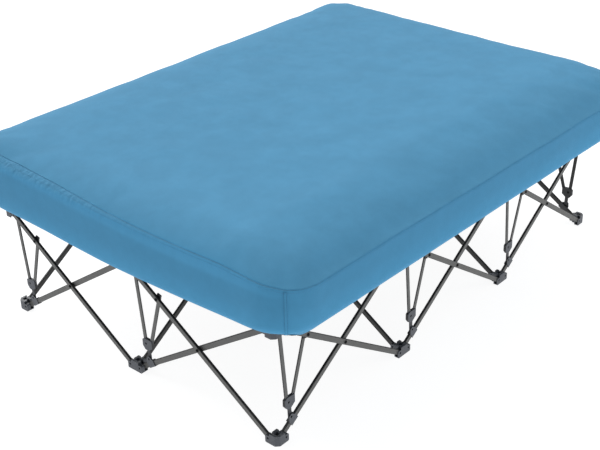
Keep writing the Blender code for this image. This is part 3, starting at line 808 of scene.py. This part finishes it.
class CAMPBED_OT_stage(bpy.types.Operator):
    """Lays the pale floor, hangs the soft lights and sets up the camera"""

    bl_idname = "campbed.stage"
    bl_label = "Stage"

    def execute(self, context):
        looks = context.scene.camp_bed_stage
        self.lay_floor(looks)
        self.light_surround(context.scene, looks)
        self.hang_light("overhead_softbox", "SUN", OVERHEAD_PLACE, OVERHEAD_TARGET, looks.overhead)
        self.hang_light("front_softbox", "AREA", FRONT_PLACE, FRONT_TARGET, looks.front)
        self.set_camera(context.scene, looks)
        return {"FINISHED"}

    def lay_floor(self, looks):
        shape = bmesh.new()
        bmesh.ops.create_grid(shape, x_segments=8, y_segments=8, size=FLOOR_HALF)
        floor = new_object("studio_floor", shape)
        floor.location.z = -FLOOR_DROP
        material, tree, shader = new_material("pale_floor", 0.75, specular=0.2)
        cloud = noise_at(tree, own_place(tree), 2.5, 3.0)
        color = mix_color(tree, cloud, tone(looks.floor, 0.995), tone(looks.floor, 1.005))
        glow = {"Emission Color": (1.0, 1.0, 1.0, 1.0), "Emission Strength": looks.floor_glow}
        feed(tree, shader, {"Base Color": color, **glow})
        floor.data.materials.append(material)
        # The frame is held by its middle top hub, so the floor follows the foot below it when the frame folds
        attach(floor, f"foot_hub_{label(1, 1)}")

    def light_surround(self, scene, looks):
        """An even surround that lights softly, and that the camera sees as white."""
        world = bpy.data.worlds.new("white_surround")
        world.use_nodes = True
        tree = world.node_tree
        seen = node(tree, "ShaderNodeLightPath").outputs["Is Camera Ray"]
        strength = calc(tree, "MULTIPLY_ADD", seen, WHITE_SEEN - looks.sky, looks.sky)
        sky = {"Color": (0.95, 0.975, 1.0, 1.0), "Strength": strength}
        feed(tree, tree.nodes["Background"].inputs, sky)
        scene.world = world

    def hang_light(self, name, kind, place, target, power):
        data = bpy.data.lights.new(name, kind)
        if kind == "SUN":
            data.angle = OVERHEAD_WIDE
        else:
            data.shape = "RECTANGLE"
            data.size, data.size_y = FRONT_SIZE
        data.energy = power
        light = bpy.data.objects.new(name, data)
        light.location = place
        light.rotation_euler = (Vector(target) - Vector(place)).to_track_quat("-Z", "Y").to_euler()
        bpy.context.scene.collection.objects.link(light)

    def set_camera(self, scene, looks):
        data = bpy.data.cameras.new("photo_camera")
        data.sensor_fit = "HORIZONTAL"
        data.sensor_width = 36
        data.lens = looks.lens
        data.shift_x, data.shift_y = looks.shift
        data.clip_end = 60
        camera = bpy.data.objects.new("photo_camera", data)
        scene.collection.objects.link(camera)
        roll, tilt, heading = looks.turns
        turn = Matrix.Rotation(heading, 4, "Z") @ Matrix.Rotation(tilt, 4, "X") @ Matrix.Rotation(roll, 4, "Z")
        camera.matrix_world = Matrix.Translation(looks.place) @ turn
        scene.camera = camera
        scene.view_settings.view_transform = "Standard"


class CAMPBED_OT_finishes(bpy.types.Operator):
    """Builds the shared effects and gives every tube and hub its finish"""

    bl_idname = "campbed.finishes"
    bl_label = "Steel and Plastic"

    def execute(self, context):
        looks = context.scene.camp_bed_frame
        build_weave_group()
        build_nap_group()
        build_edge_group()
        build_dust_group()
        build_grain_group()
        steel = {kind: coated_steel(looks, *kind) for kind in product((0, 1), repeat=3)}
        plastic = [moulded_plastic(looks, axis) for axis in (0, 1)]
        for start, end, on_edge in bays():
            for rises, kind in enumerate(("falling", "rising")):
                coat = steel[across_axis(start, end), on_edge, rises]
                self.finish(f"{kind}_tube_{label(*start)}_{label(*end)}", coat)
        for point in lattice_points():
            for kind in ("foot", "top"):
                self.finish(f"{kind}_hub_{label(*point)}", plastic[brace_axis(point)])
        return {"FINISHED"}

    def finish(self, name, material):
        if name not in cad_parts:
            raise RuntimeError(f"the frame has no node named {name}")
        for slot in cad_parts[name].material_slots:
            slot.material = material


class CAMPBED_OT_rivets(bpy.types.Operator):
    """Sets a domed rivet in every well and on the back of every pivot"""

    bl_idname = "campbed.rivets"
    bl_label = "Rivets"

    def execute(self, context):
        looks = context.scene.camp_bed_frame
        material = dark_rivet(looks)
        heads = {}
        for start, end, on_edge in bays():
            outwards = place_in_bay(start, end, 0, 0, 1) - place_in_bay(start, end, 0, 0, 0)
            for body, along, height, out, side in self.rows(start, end, on_edge):
                place = place_in_bay(start, end, along, height, out)
                heads.setdefault(body, []).append((place, outwards * side))
        for body, places in heads.items():
            shape = bmesh.new()
            for place, outwards in places:
                self.add_dome(shape, place, outwards, looks.rivet_radius, looks.rivet_rise)
            rivets = new_object(f"rivets_{body}", shape)
            smooth(rivets)
            give(rivets, material, body)
        return {"FINISHED"}

    def rows(self, start, end, on_edge):
        """Each rivet of a bay: its body, its place along, up and out of the bay, and the side it looks to."""
        first, last = label(*start), label(*end)
        rising = f"rising_tube_{first}_{last}"
        ends, middle = BAY - HUB_REACH, (FOOT_PIVOT + TOP_PIVOT) / 2
        well = HUB_FACE - RIVET_WELL
        low_face = well if on_edge else RISE_OFFSET + ARM_HALF - RIVET_WELL
        high_face = well if on_edge else FALL_OFFSET + ARM_HALF - RIVET_WELL
        back_rise, back_fall = RISE_OFFSET - ARM_HALF, FALL_OFFSET - ARM_HALF
        rows = [
            (f"foot_hub_{first}", HUB_REACH, FOOT_PIVOT, low_face, 1),
            (f"foot_hub_{first}", HUB_REACH, FOOT_PIVOT, back_rise, -1),
            (f"foot_hub_{last}", ends, FOOT_PIVOT, high_face, 1),
            (f"foot_hub_{last}", ends, FOOT_PIVOT, back_fall, -1),
            (f"top_hub_{first}", HUB_REACH, TOP_PIVOT, high_face, 1),
            (f"top_hub_{last}", ends, TOP_PIVOT, low_face, 1),
            (f"top_hub_{last}", ends, TOP_PIVOT, back_rise, -1),
            (rising, BAY / 2, middle, FALL_OFFSET + TUBE_THICK / 2 + BOSS_PROUD, 1),
            (rising, BAY / 2, middle, RISE_OFFSET - TUBE_THICK / 2, -1),
        ]
        if on_edge:
            pin = along_tube(True, BRACE_PIN_ALONG)
            lobe = along_tube(False, CLIP_ALONG, CLIP_RISE)
            rows += [
                (f"falling_tube_{first}_{last}", *pin, FALL_OFFSET + TUBE_THICK / 2 + PIN_PROUD, 1),
                (rising, *lobe, RISE_OFFSET + CLIP_FACE - RIVET_WELL, 1),
                (f"top_hub_{first}", *BRACKET_RIVET, RISE_OFFSET + BRACKET_FACE - RIVET_WELL, 1),
                (f"top_hub_{first}", *BRACKET_RIVET, RISE_OFFSET - BRACKET_FACE, -1),
            ]
        return rows

    def add_dome(self, shape, place, outwards, radius, rise):
        """A shallow dome with a small flat at its top, standing on a face."""
        turn = Z.rotation_difference(outwards).to_matrix().to_4x4()
        previous = None
        for share, height in RIVET_OUTLINE:
            ring = []
            for step in range(RIVET_SIDES):
                angle = 2 * math.pi * step / RIVET_SIDES
                across, up = math.cos(angle) * radius * share, math.sin(angle) * radius * share
                ring.append(shape.verts.new(turn @ Vector((across, up, rise * height)) + place))
            if previous:
                for k in range(RIVET_SIDES):
                    other = (k + 1) % RIVET_SIDES
                    shape.faces.new((previous[k], previous[other], ring[other], ring[k]))
            else:
                shape.faces.new(list(reversed(ring)))
            previous = ring
        shape.faces.new(previous)


class CAMPBED_OT_deck(bpy.types.Operator):
    """Stretches the fabric deck over the top hubs, with its binding and patches"""

    bl_idname = "campbed.deck"
    bl_label = "Fabric Deck"

    def execute(self, context):
        looks = context.scene.camp_bed_deck
        low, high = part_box("deck")
        middle = (low.z + high.z) / 2
        cloth = self.cloth(looks, low, high, middle)
        give(cloth, plain_cloth("woven_deck", looks.color, 1100.0), "bedding")
        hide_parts("deck")
        webbing = plain_cloth("deck_webbing", looks.webbing, 620.0)
        binding = self.binding(looks, high, middle)
        give(binding, webbing, "bedding")
        patches = self.patches(looks, high, middle)
        give(patches, webbing, "bedding")
        return {"FINISHED"}

    def dip(self, looks, x, y):
        """How far the cloth hangs at a place: nothing on the hub lines, most in the middle of a bay."""
        across_x = abs(math.cos(math.pi * x / BAY)) if abs(x) < BAYS_LONG * BAY / 2 else 0
        across_y = abs(math.sin(math.pi * y / BAY)) if abs(y) < BAYS_WIDE * BAY / 2 else 0
        return looks.sag * (0.35 * max(across_x, across_y) + 0.65 * across_x * across_y)

    def cloth(self, looks, low, high, middle):
        shape = bmesh.new()
        size = Matrix.Diagonal(((high.x - low.x) / 2, (high.y - low.y) / 2, 1, 1))
        bmesh.ops.create_grid(shape, x_segments=DECK_GRID[0], y_segments=DECK_GRID[1], size=1, matrix=size)
        for vertex in shape.verts:
            x, y = vertex.co.x, vertex.co.y
            over = Vector((max(0, abs(x) - high.x + DECK_CORNER), max(0, abs(y) - high.y + DECK_CORNER)))
            if over.x > 0 and over.y > 0:
                reach = max(over.x, over.y) / over.length
                x = math.copysign(high.x - DECK_CORNER + over.x * reach, x)
                y = math.copysign(high.y - DECK_CORNER + over.y * reach, y)
            ripple = noise.noise(Vector((x * 9, y * 9, 3.1))) * DECK_RIPPLE
            vertex.co = (x, y, middle - self.dip(looks, x, y) + ripple)
        obj = new_object("deck_cloth", shape)
        thick = obj.modifiers.new("thickness", "SOLIDIFY")
        thick.thickness = looks.thickness
        thick.offset = 0
        smooth(obj)
        return obj

    def edge_path(self, half_x, half_y):
        """Points round the deck's rounded edge, and the outward direction at each."""
        side_x, side_y = 2 * (half_x - DECK_CORNER), 2 * (half_y - DECK_CORNER)
        arc = math.pi / 2 * DECK_CORNER
        total = 2 * (side_x + side_y) + 4 * arc
        path = []
        for step in range(EDGE_POINTS):
            run = total * step / EDGE_POINTS
            spot, heading = Vector((-half_x + DECK_CORNER, -half_y)), 0.0
            for side in (side_x, side_y, side_x, side_y):
                ahead = Vector((math.cos(heading), math.sin(heading)))
                left = Vector((-ahead.y, ahead.x))
                if run <= side:
                    path.append((spot + ahead * run, -left))
                    break
                run -= side
                spot += ahead * side
                if run <= arc:
                    turn = run / DECK_CORNER
                    spot += ahead * math.sin(turn) * DECK_CORNER
                    spot += left * (1 - math.cos(turn)) * DECK_CORNER
                    out = heading - math.pi / 2 + turn
                    path.append((spot, Vector((math.cos(out), math.sin(out)))))
                    break
                run -= arc
                spot += (ahead + left) * DECK_CORNER
                heading += math.pi / 2
        return path

    def binding(self, looks, high, middle):
        """Webbing folded over the cloth's edge, thicker than the cloth and with a soft outer fold."""
        shape = bmesh.new()
        half = looks.thickness / 2
        upper = [(looks.binding, half + WEB_SEWN), (FOLD_INWARDS, half + FOLD_PROUD), FOLD_OUTSIDE]
        section = upper + [(inwards, -height) for inwards, height in reversed(upper)]
        rings = []
        for spot, out in self.edge_path(high.x, high.y):
            ring = []
            for inwards, height in section:
                place = spot - out * inwards
                drop = self.dip(looks, place.x, place.y)
                ring.append(shape.verts.new((place.x, place.y, middle + height - drop)))
            rings.append(ring)
        for ring, following in zip(rings, rings[1:] + rings[:1]):
            join_rings(shape, ring, following)
        obj = new_object("deck_binding", shape)
        smooth(obj)
        return obj

    def patches(self, looks, edge, middle):
        """A square of webbing over every hub, sewn on the deck's upper side with a ridge at its edge."""
        shape = bmesh.new()
        for point in lattice_points():
            centre = at_point(*point)
            low = [max(centre[k] - PATCH_HALF, -edge[k]) for k in range(2)]
            high = [min(centre[k] + PATCH_HALF, edge[k]) for k in range(2)]
            self.add_patch(shape, looks, Vector(low), Vector(high), middle)
        obj = new_object("deck_patches", shape)
        smooth(obj)
        return obj

    def add_patch(self, shape, looks, low, high, middle):
        grid = {}
        for i in range(PATCH_STEPS + 1):
            for j in range(PATCH_STEPS + 1):
                x = low.x + (high.x - low.x) * i / PATCH_STEPS
                y = low.y + (high.y - low.y) * j / PATCH_STEPS
                rim = i in (0, PATCH_STEPS) or j in (0, PATCH_STEPS)
                lift = looks.thickness / 2 + (WEB_SEWN if rim else PATCH_PROUD)
                grid[i, j] = shape.verts.new((x, y, middle + lift - self.dip(looks, x, y)))
        for i in range(PATCH_STEPS):
            for j in range(PATCH_STEPS):
                shape.faces.new((grid[i, j], grid[i + 1, j], grid[i + 1, j + 1], grid[i, j + 1]))


class CAMPBED_OT_mattress(bpy.types.Operator):
    """Blows up the mattress in its fitted cover and sews on its seams"""

    bl_idname = "campbed.mattress"
    bl_label = "Covered Mattress"

    def execute(self, context):
        looks = context.scene.camp_bed_cover
        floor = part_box("covered_mattress")[0].z
        cover, ring = self.soft_box(looks, floor)
        self.blow_up(looks, cover, ring, floor)
        self.sink_seam(looks, cover, ring)
        smooth(cover)
        finer = cover.modifiers.new("finer", "SUBSURF")
        finer.levels = finer.render_levels = 1
        cloth = brushed_cover(looks)
        give(cover, cloth, "bedding")
        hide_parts("covered_mattress")
        surface = BVHTree.FromObject(cover, context.evaluated_depsgraph_get())
        piping = self.piping(looks, cover, ring)
        # Painted shade: the piping is the cover's cloth at 0.97 of its colour, for the seam's shadow
        give(piping, plain_cloth("cover_piping", looks.color, 900.0, 0.97), "bedding")
        ridges, rows = self.corner_seams(looks, cover, ring, surface, floor)
        give(ridges, cloth, "bedding")
        rows.append(self.seam_row(cover, ring, surface))
        hem, hem_row = self.hem(cover, ring, surface)
        # Painted shade: the hem's casing is the cover's cloth at 0.40 of its colour, for the shade under the
        # lower edge
        give(hem, plain_cloth("cover_hem", looks.color, 700.0, 0.40), "bedding")
        rows.append(hem_row)
        stitches = self.stitches(looks, rows)
        give(stitches, plain_cloth("cover_thread", looks.thread, 2400.0), "bedding")
        return {"FINISHED"}

    def cuts(self, half, corner):
        """Cut places along one side: close round the corners and even between them."""
        near = [half - corner * share for share in CORNER_CUTS]
        inner = half - corner
        count = max(2, round(2 * inner / COVER_STEP))
        between_corners = [-inner + 2 * inner * k / count for k in range(1, count)]
        return sorted([-value for value in near] + between_corners + near)

    def seam_height(self, looks, x, y):
        """Height of the top seam at a place of the rim, given as shares of the half sizes."""
        short = ease((abs(x) - SEAM_TURN) / (1 - SEAM_TURN))
        climb = looks.seam_climb * ease((y - SEAM_CLIMB[0]) / (SEAM_CLIMB[1] - SEAM_CLIMB[0]))
        return looks.seam_long + climb * SEAM_SHARED + short * (looks.seam_short + climb * (1 - SEAM_SHARED))

    def soft_box(self, looks, floor):
        """The cover before it is blown up, and its ring of points on the top seam."""
        less = looks.swell
        half = Vector((*looks.half_size, (looks.top - floor) / 2))
        middle = Vector((*looks.middle, (looks.top + floor) / 2))
        xs, ys = self.cuts(half.x, looks.plan_corner), self.cuts(half.y, looks.plan_corner)
        levels = [share - 1 for share in ROWS_BELOW] + [0.0] + ROWS_ABOVE
        last = (len(xs) - 1, len(ys) - 1, len(levels) - 1)
        points, index, faces = [], {}, []

        def corner_of(spot):
            if spot not in index:
                i, j, k = spot
                seam = self.seam_height(looks, xs[i] / half.x, ys[j] / half.y) - middle.z
                share = levels[k]
                height = seam + share * ((half.z - seam) if share > 0 else (seam + half.z))
                index[spot] = len(points)
                points.append(middle + self.soft_point(looks, Vector((xs[i], ys[j], height)), half, less))
            return index[spot]

        def add_face(around, flip):
            faces.append([corner_of(spot) for spot in (reversed(around) if flip else around)])

        for i in range(last[0]):
            for j in range(last[1]):
                for k in (0, last[2]):
                    add_face([(i, j, k), (i + 1, j, k), (i + 1, j + 1, k), (i, j + 1, k)], k == 0)
        for k in range(last[2]):
            for i in range(last[0]):
                for j in (0, last[1]):
                    add_face([(i, j, k), (i + 1, j, k), (i + 1, j, k + 1), (i, j, k + 1)], j > 0)
            for j in range(last[1]):
                for i in (0, last[0]):
                    add_face([(i, j, k), (i, j + 1, k), (i, j + 1, k + 1), (i, j, k + 1)], i == 0)
        level = levels.index(0.0)
        ring = [(i, 0) for i in range(last[0])] + [(last[0], j) for j in range(last[1])]
        ring += [(i, last[1]) for i in range(last[0], 0, -1)] + [(0, j) for j in range(last[1], 0, -1)]
        ring = [index[i, j, level] for i, j in ring]
        mesh = bpy.data.meshes.new("mattress_cover")
        mesh.from_pydata(points, [], faces)
        obj = bpy.data.objects.new("mattress_cover", mesh)
        bpy.context.scene.collection.objects.link(obj)
        return obj, ring

    def soft_point(self, looks, point, half, less):
        """The place on the soft form of a point on its box, about its middle, smaller all round by less."""
        radius = Vector((looks.plan_corner, looks.plan_corner, looks.shoulder if point.z > 0 else looks.hem))
        inner = Vector([max(radius[k] - half[k], min(half[k] - radius[k], point[k])) for k in range(3)])
        away = Vector([(point[k] - inner[k]) / radius[k] for k in range(3)])
        moved = point.copy()
        if away.length > 0:
            reach = max(abs(value) for value in away) / away.length
            here = less * ease((point.z + half.z) / (0.7 * half.z))
            share = Vector([1 - here / radius[k] for k in range(3)])
            moved = inner + Vector([(point[k] - inner[k]) * reach * share[k] for k in range(3)])
        x, y = moved.x / half.x, moved.y / half.y
        along = min(1, abs(moved.y) / (half.y - looks.plan_corner))
        moved.x += math.copysign(looks.bulge * (1 - along ** 2) * x ** 2, moved.x)
        up = (moved.z + half.z) / (2 * half.z)
        from_near = Vector((max(0, 1 + x) / 2, max(0, 1 + y) / 2))
        fuller = (from_near.x * from_near.y) ** 2 * looks.skew
        moved.x += fuller
        moved.y += fuller
        if away.length > 0:
            out = Vector((away.x, away.y, 0))
            fold = noise.noise(Vector((moved.x * 4.5, moved.y * 4.5, moved.z * 3 + 6.0)))
            highest_midway = math.sin(math.pi * min(1, max(0, up)))
            moved += out * min(1, 1 / max(out.length, 1e-6)) * SIDE_FOLDS * fold * highest_midway
        rim = ease((abs(x) - RIM_LONG) / 0.07) * ease((y + 0.1) / 0.7)
        moved.z += (1 - up) * looks.lifted * rim
        past = max(ease((abs(x) - RIM_LONG) / 0.05), ease((abs(y) - RIM_WIDE) / 0.08))
        moved.z -= (1 - up) * looks.overhang * past
        lift = 0.004 * (x + y) + 0.003 * x * y - 0.003 * x ** 2 + 0.006 * y ** 2
        lift += looks.raised * from_near.x ** 1.1 * from_near.y ** 1.5 + 0.005 * from_near.y ** 2 * (1 - x * x)
        moved.z += up * lift
        if point.z > 0:
            moved.z += self.wave(looks, moved, x, y) * ease((up - 0.75) / 0.2)
            near_edge = max(0, -moved.y - half.y + looks.slope_wide) / looks.slope_wide
            far_edge = max(0, moved.y - half.y + looks.slope_wide) / looks.slope_wide
            moved.z -= looks.slope * (near_edge ** 1.3 + 0.04 * far_edge ** 2) * ease((up - 0.62) / 0.3)
        return moved

    def wave(self, looks, place, x, y):
        """Soft undulations of the top, and creases that run out from its corners."""
        wave = noise.noise(Vector((place.x * 7, place.y * 7, 1.7)))
        wave += 0.5 * noise.noise(Vector((place.x * 15, place.y * 15, 8.2)))
        corner = Vector([abs(place[k]) - looks.half_size[k] + CREASE_REACH for k in range(2)])
        creases = 0.0
        if corner.x > 0 and corner.y > 0:
            angle = math.atan2(corner.y, corner.x)
            near = ease((corner.length - 0.10) / 0.14)
            creases = math.sin(angle * 22 + 3 * noise.noise(Vector((x * 5, y * 5, 4.4)))) * near
        return TOP_WAVES * wave + TOP_CREASES * creases

    def blow_up(self, looks, cover, ring, floor):
        """Cloth simulation under air pressure. The underside and the seam hold, and no point moves too far."""
        before = [vertex.co.copy() for vertex in cover.data.vertices]
        held = cover.vertex_groups.new(name="held")
        for vertex in cover.data.vertices:
            if vertex.co.z < floor + looks.hem * 0.2:
                held.add([vertex.index], 1.0, "REPLACE")
        held.add(ring, 0.25, "REPLACE")
        cloth = cover.modifiers.new("air", "CLOTH")
        for name, value in AIR_SETTINGS.items():
            setattr(cloth.settings, name, value)
        cloth.settings.uniform_pressure_force = looks.pressure
        cloth.settings.effector_weights.gravity = 0
        cloth.collision_settings.use_self_collision = False
        cloth.point_cache.frame_end = looks.steps
        scene = bpy.context.scene
        for step in range(1, looks.steps + 1):
            scene.frame_set(step)
        blown = cover.evaluated_get(bpy.context.evaluated_depsgraph_get()).to_mesh()
        after = [vertex.co.copy() for vertex in blown.vertices]
        cover.modifiers.remove(cloth)
        scene.frame_set(1)
        for vertex, start, end in zip(cover.data.vertices, before, after):
            move = end - start
            if move.length > looks.swell:
                move *= looks.swell / move.length
            place = start + move
            vertex.co = (place.x, place.y, max(min(floor, start.z), place.z))

    def sink_seam(self, looks, cover, ring):
        """Pulls the top seam a little into the padding, so that the cloth rolls out on both sides of it."""
        mesh = cover.data
        mesh.update()
        normals = {index: mesh.vertices[index].normal.copy() for index in ring}
        for index, normal in normals.items():
            mesh.vertices[index].co -= normal * looks.groove

    def piping(self, looks, cover, ring):
        curve = bpy.data.curves.new("cover_piping", "CURVE")
        curve.dimensions = "3D"
        curve.bevel_depth = looks.piping
        curve.bevel_resolution = 2
        curve.use_fill_caps = False
        spline = curve.splines.new("POLY")
        spline.points.add(len(ring) - 1)
        for point, index in zip(spline.points, ring):
            vertex = cover.data.vertices[index]
            point.co = (*(vertex.co + vertex.normal * looks.piping * 0.25), 1)
        spline.use_cyclic_u = True
        piping = bpy.data.objects.new("cover_piping", curve)
        bpy.context.scene.collection.objects.link(piping)
        return piping

    def corner_seams(self, looks, cover, ring, surface, floor):
        """A felled seam down each corner: a narrow raised band between two rows of stitches."""
        shape = bmesh.new()
        rows = []
        for sx, sy in product((-1, 1), repeat=2):
            corner = Vector((looks.middle[0] + sx * (looks.half_size[0] - looks.plan_corner),
                             looks.middle[1] + sy * (looks.half_size[1] - looks.plan_corner), 0))
            out = Vector((sx, sy, 0)).normalized()
            side = out.cross(Z)
            top = max((cover.data.vertices[k].co for k in ring), key=out.dot).z - SEAM_ENDS
            band, left_row, right_row = [], [], []
            for step in range(SEAM_STEPS + 1):
                height = top + (floor + SEAM_ENDS - top) * step / SEAM_STEPS
                cross = []
                for offset, lift in SEAM_PROFILE:
                    start = corner + side * offset * SEAM_HALF_WIDE + Z * height
                    hit, normal, _, _ = surface.ray_cast(start, out)
                    if hit is None:
                        break
                    cross.append((hit + normal * lift, normal))
                if len(cross) < len(SEAM_PROFILE):
                    continue
                band.append([shape.verts.new(place) for place, _ in cross])
                left_row.append(cross[1])
                right_row.append(cross[3])
            for first, second in zip(band, band[1:]):
                for k in range(len(SEAM_PROFILE) - 1):
                    shape.faces.new((first[k], first[k + 1], second[k + 1], second[k]))
            rows += [left_row, right_row]
        bmesh.ops.recalc_face_normals(shape, faces=shape.faces)
        obj = new_object("cover_corner_seams", shape)
        smooth(obj)
        return obj, rows

    def hem(self, cover, ring, surface):
        """The elastic's casing round the lower edge, gathered into small beads, and its row of stitches."""
        shape = bmesh.new()
        rounds, row = [], []
        corners = [cover.data.vertices[index].co for index in ring]
        for first, second in zip(corners, corners[1:] + corners[:1]):
            ahead = Vector((second.x - first.x, second.y - first.y, 0)).normalized()
            inwards = Z.cross(ahead)
            for part in range(3):
                spot = first.lerp(second, part / 3) + inwards * HEM_INSET
                hit, normal, _, _ = surface.ray_cast(Vector((spot.x, spot.y, UNDER_COVER)), Z)
                if hit is None:
                    continue
                beads = 1 + 0.16 * math.sin(len(rounds) * 2.1) + 0.10 * math.sin(len(rounds) * 0.77)
                across = ahead.cross(normal)
                around = []
                for step in range(HEM_SIDES):
                    angle = 2 * math.pi * step / HEM_SIDES
                    offset = across * math.cos(angle) * HEM_HALF_WIDE
                    offset += normal * math.sin(angle) * HEM_HALF_HIGH * beads
                    around.append(shape.verts.new(hit + normal * HEM_LIFT + offset))
                rounds.append(around)
                row.append((hit + normal * 0.0002 - across * HEM_ROW_ASIDE, normal))
        for around, following in zip(rounds, rounds[1:] + rounds[:1]):
            join_rings(shape, around, following)
        bmesh.ops.recalc_face_normals(shape, faces=shape.faces)
        obj = new_object("cover_hem", shape)
        smooth(obj)
        return obj, row

    def seam_row(self, cover, ring, surface):
        """A row of stitches on the side band just under the piping."""
        row = []
        for index in ring + ring[:1]:
            vertex = cover.data.vertices[index]
            flat = Vector((vertex.normal.x, vertex.normal.y, 0)).normalized()
            start = vertex.co - Z * SEAM_ROW_DROP + flat * OUTSIDE_COVER
            hit, normal, _, _ = surface.ray_cast(start, -flat)
            if hit is not None:
                row.append((hit + normal * 0.0001, normal))
        return row

    def stitches(self, looks, rows):
        """Short threads laid end to end along each row, with a small gap between them."""
        shape = bmesh.new()
        size = Matrix.Diagonal((looks.stitch * STITCH_SHARE, *THREAD_HALF, 1))
        for row in rows:
            run, place = 0.0, 0.0
            for (first, normal), (second, _) in zip(row, row[1:]):
                length = (second - first).length
                while place < run + length:
                    at = first.lerp(second, (place - run) / length)
                    ahead = (second - first).normalized()
                    side = normal.cross(ahead).normalized()
                    turn = Matrix((ahead, side, ahead.cross(side))).transposed().to_4x4()
                    laid = Matrix.Translation(at) @ turn @ size
                    bmesh.ops.create_icosphere(shape, subdivisions=1, radius=1, matrix=laid)
                    place += looks.stitch
                run += length
        obj = new_object("cover_stitches", shape)
        smooth(obj)
        return obj


class CAMPBED_PT_sidebar(bpy.types.Panel):
    """Lists the steps that dress the camp bed"""

    bl_idname = "CAMPBED_PT_sidebar"
    bl_label = "Camp Bed"
    bl_space_type = "VIEW_3D"
    bl_region_type = "UI"
    bl_category = "Camp Bed"

    def draw(self, context):
        for operator in OPERATORS:
            self.layout.operator(operator.bl_idname)


SETTINGS = {
    "camp_bed_frame": SteelAndPlastic,
    "camp_bed_deck": DeckCloth,
    "camp_bed_cover": MattressCover,
    "camp_bed_stage": StudioStage,
}
OPERATORS = [
    CAMPBED_OT_stage,
    CAMPBED_OT_finishes,
    CAMPBED_OT_rivets,
    CAMPBED_OT_deck,
    CAMPBED_OT_mattress,
]


def register():
    for name, settings in SETTINGS.items():
        bpy.utils.register_class(settings)
        setattr(bpy.types.Scene, name, PointerProperty(type=settings))
    for operator in OPERATORS:
        bpy.utils.register_class(operator)
    bpy.utils.register_class(CAMPBED_PT_sidebar)


def unregister():
    bpy.utils.unregister_class(CAMPBED_PT_sidebar)
    for operator in reversed(OPERATORS):
        bpy.utils.unregister_class(operator)
    for name, settings in reversed(SETTINGS.items()):
        delattr(bpy.types.Scene, name)
        bpy.utils.unregister_class(settings)


def main():
    register()
    bpy.ops.campbed.stage()
    bpy.ops.campbed.finishes()
    bpy.ops.campbed.rivets()
    bpy.ops.campbed.deck()
    bpy.ops.campbed.mattress()
    bpy.context.view_layer.update()


if __name__ == "__main__":
    main()
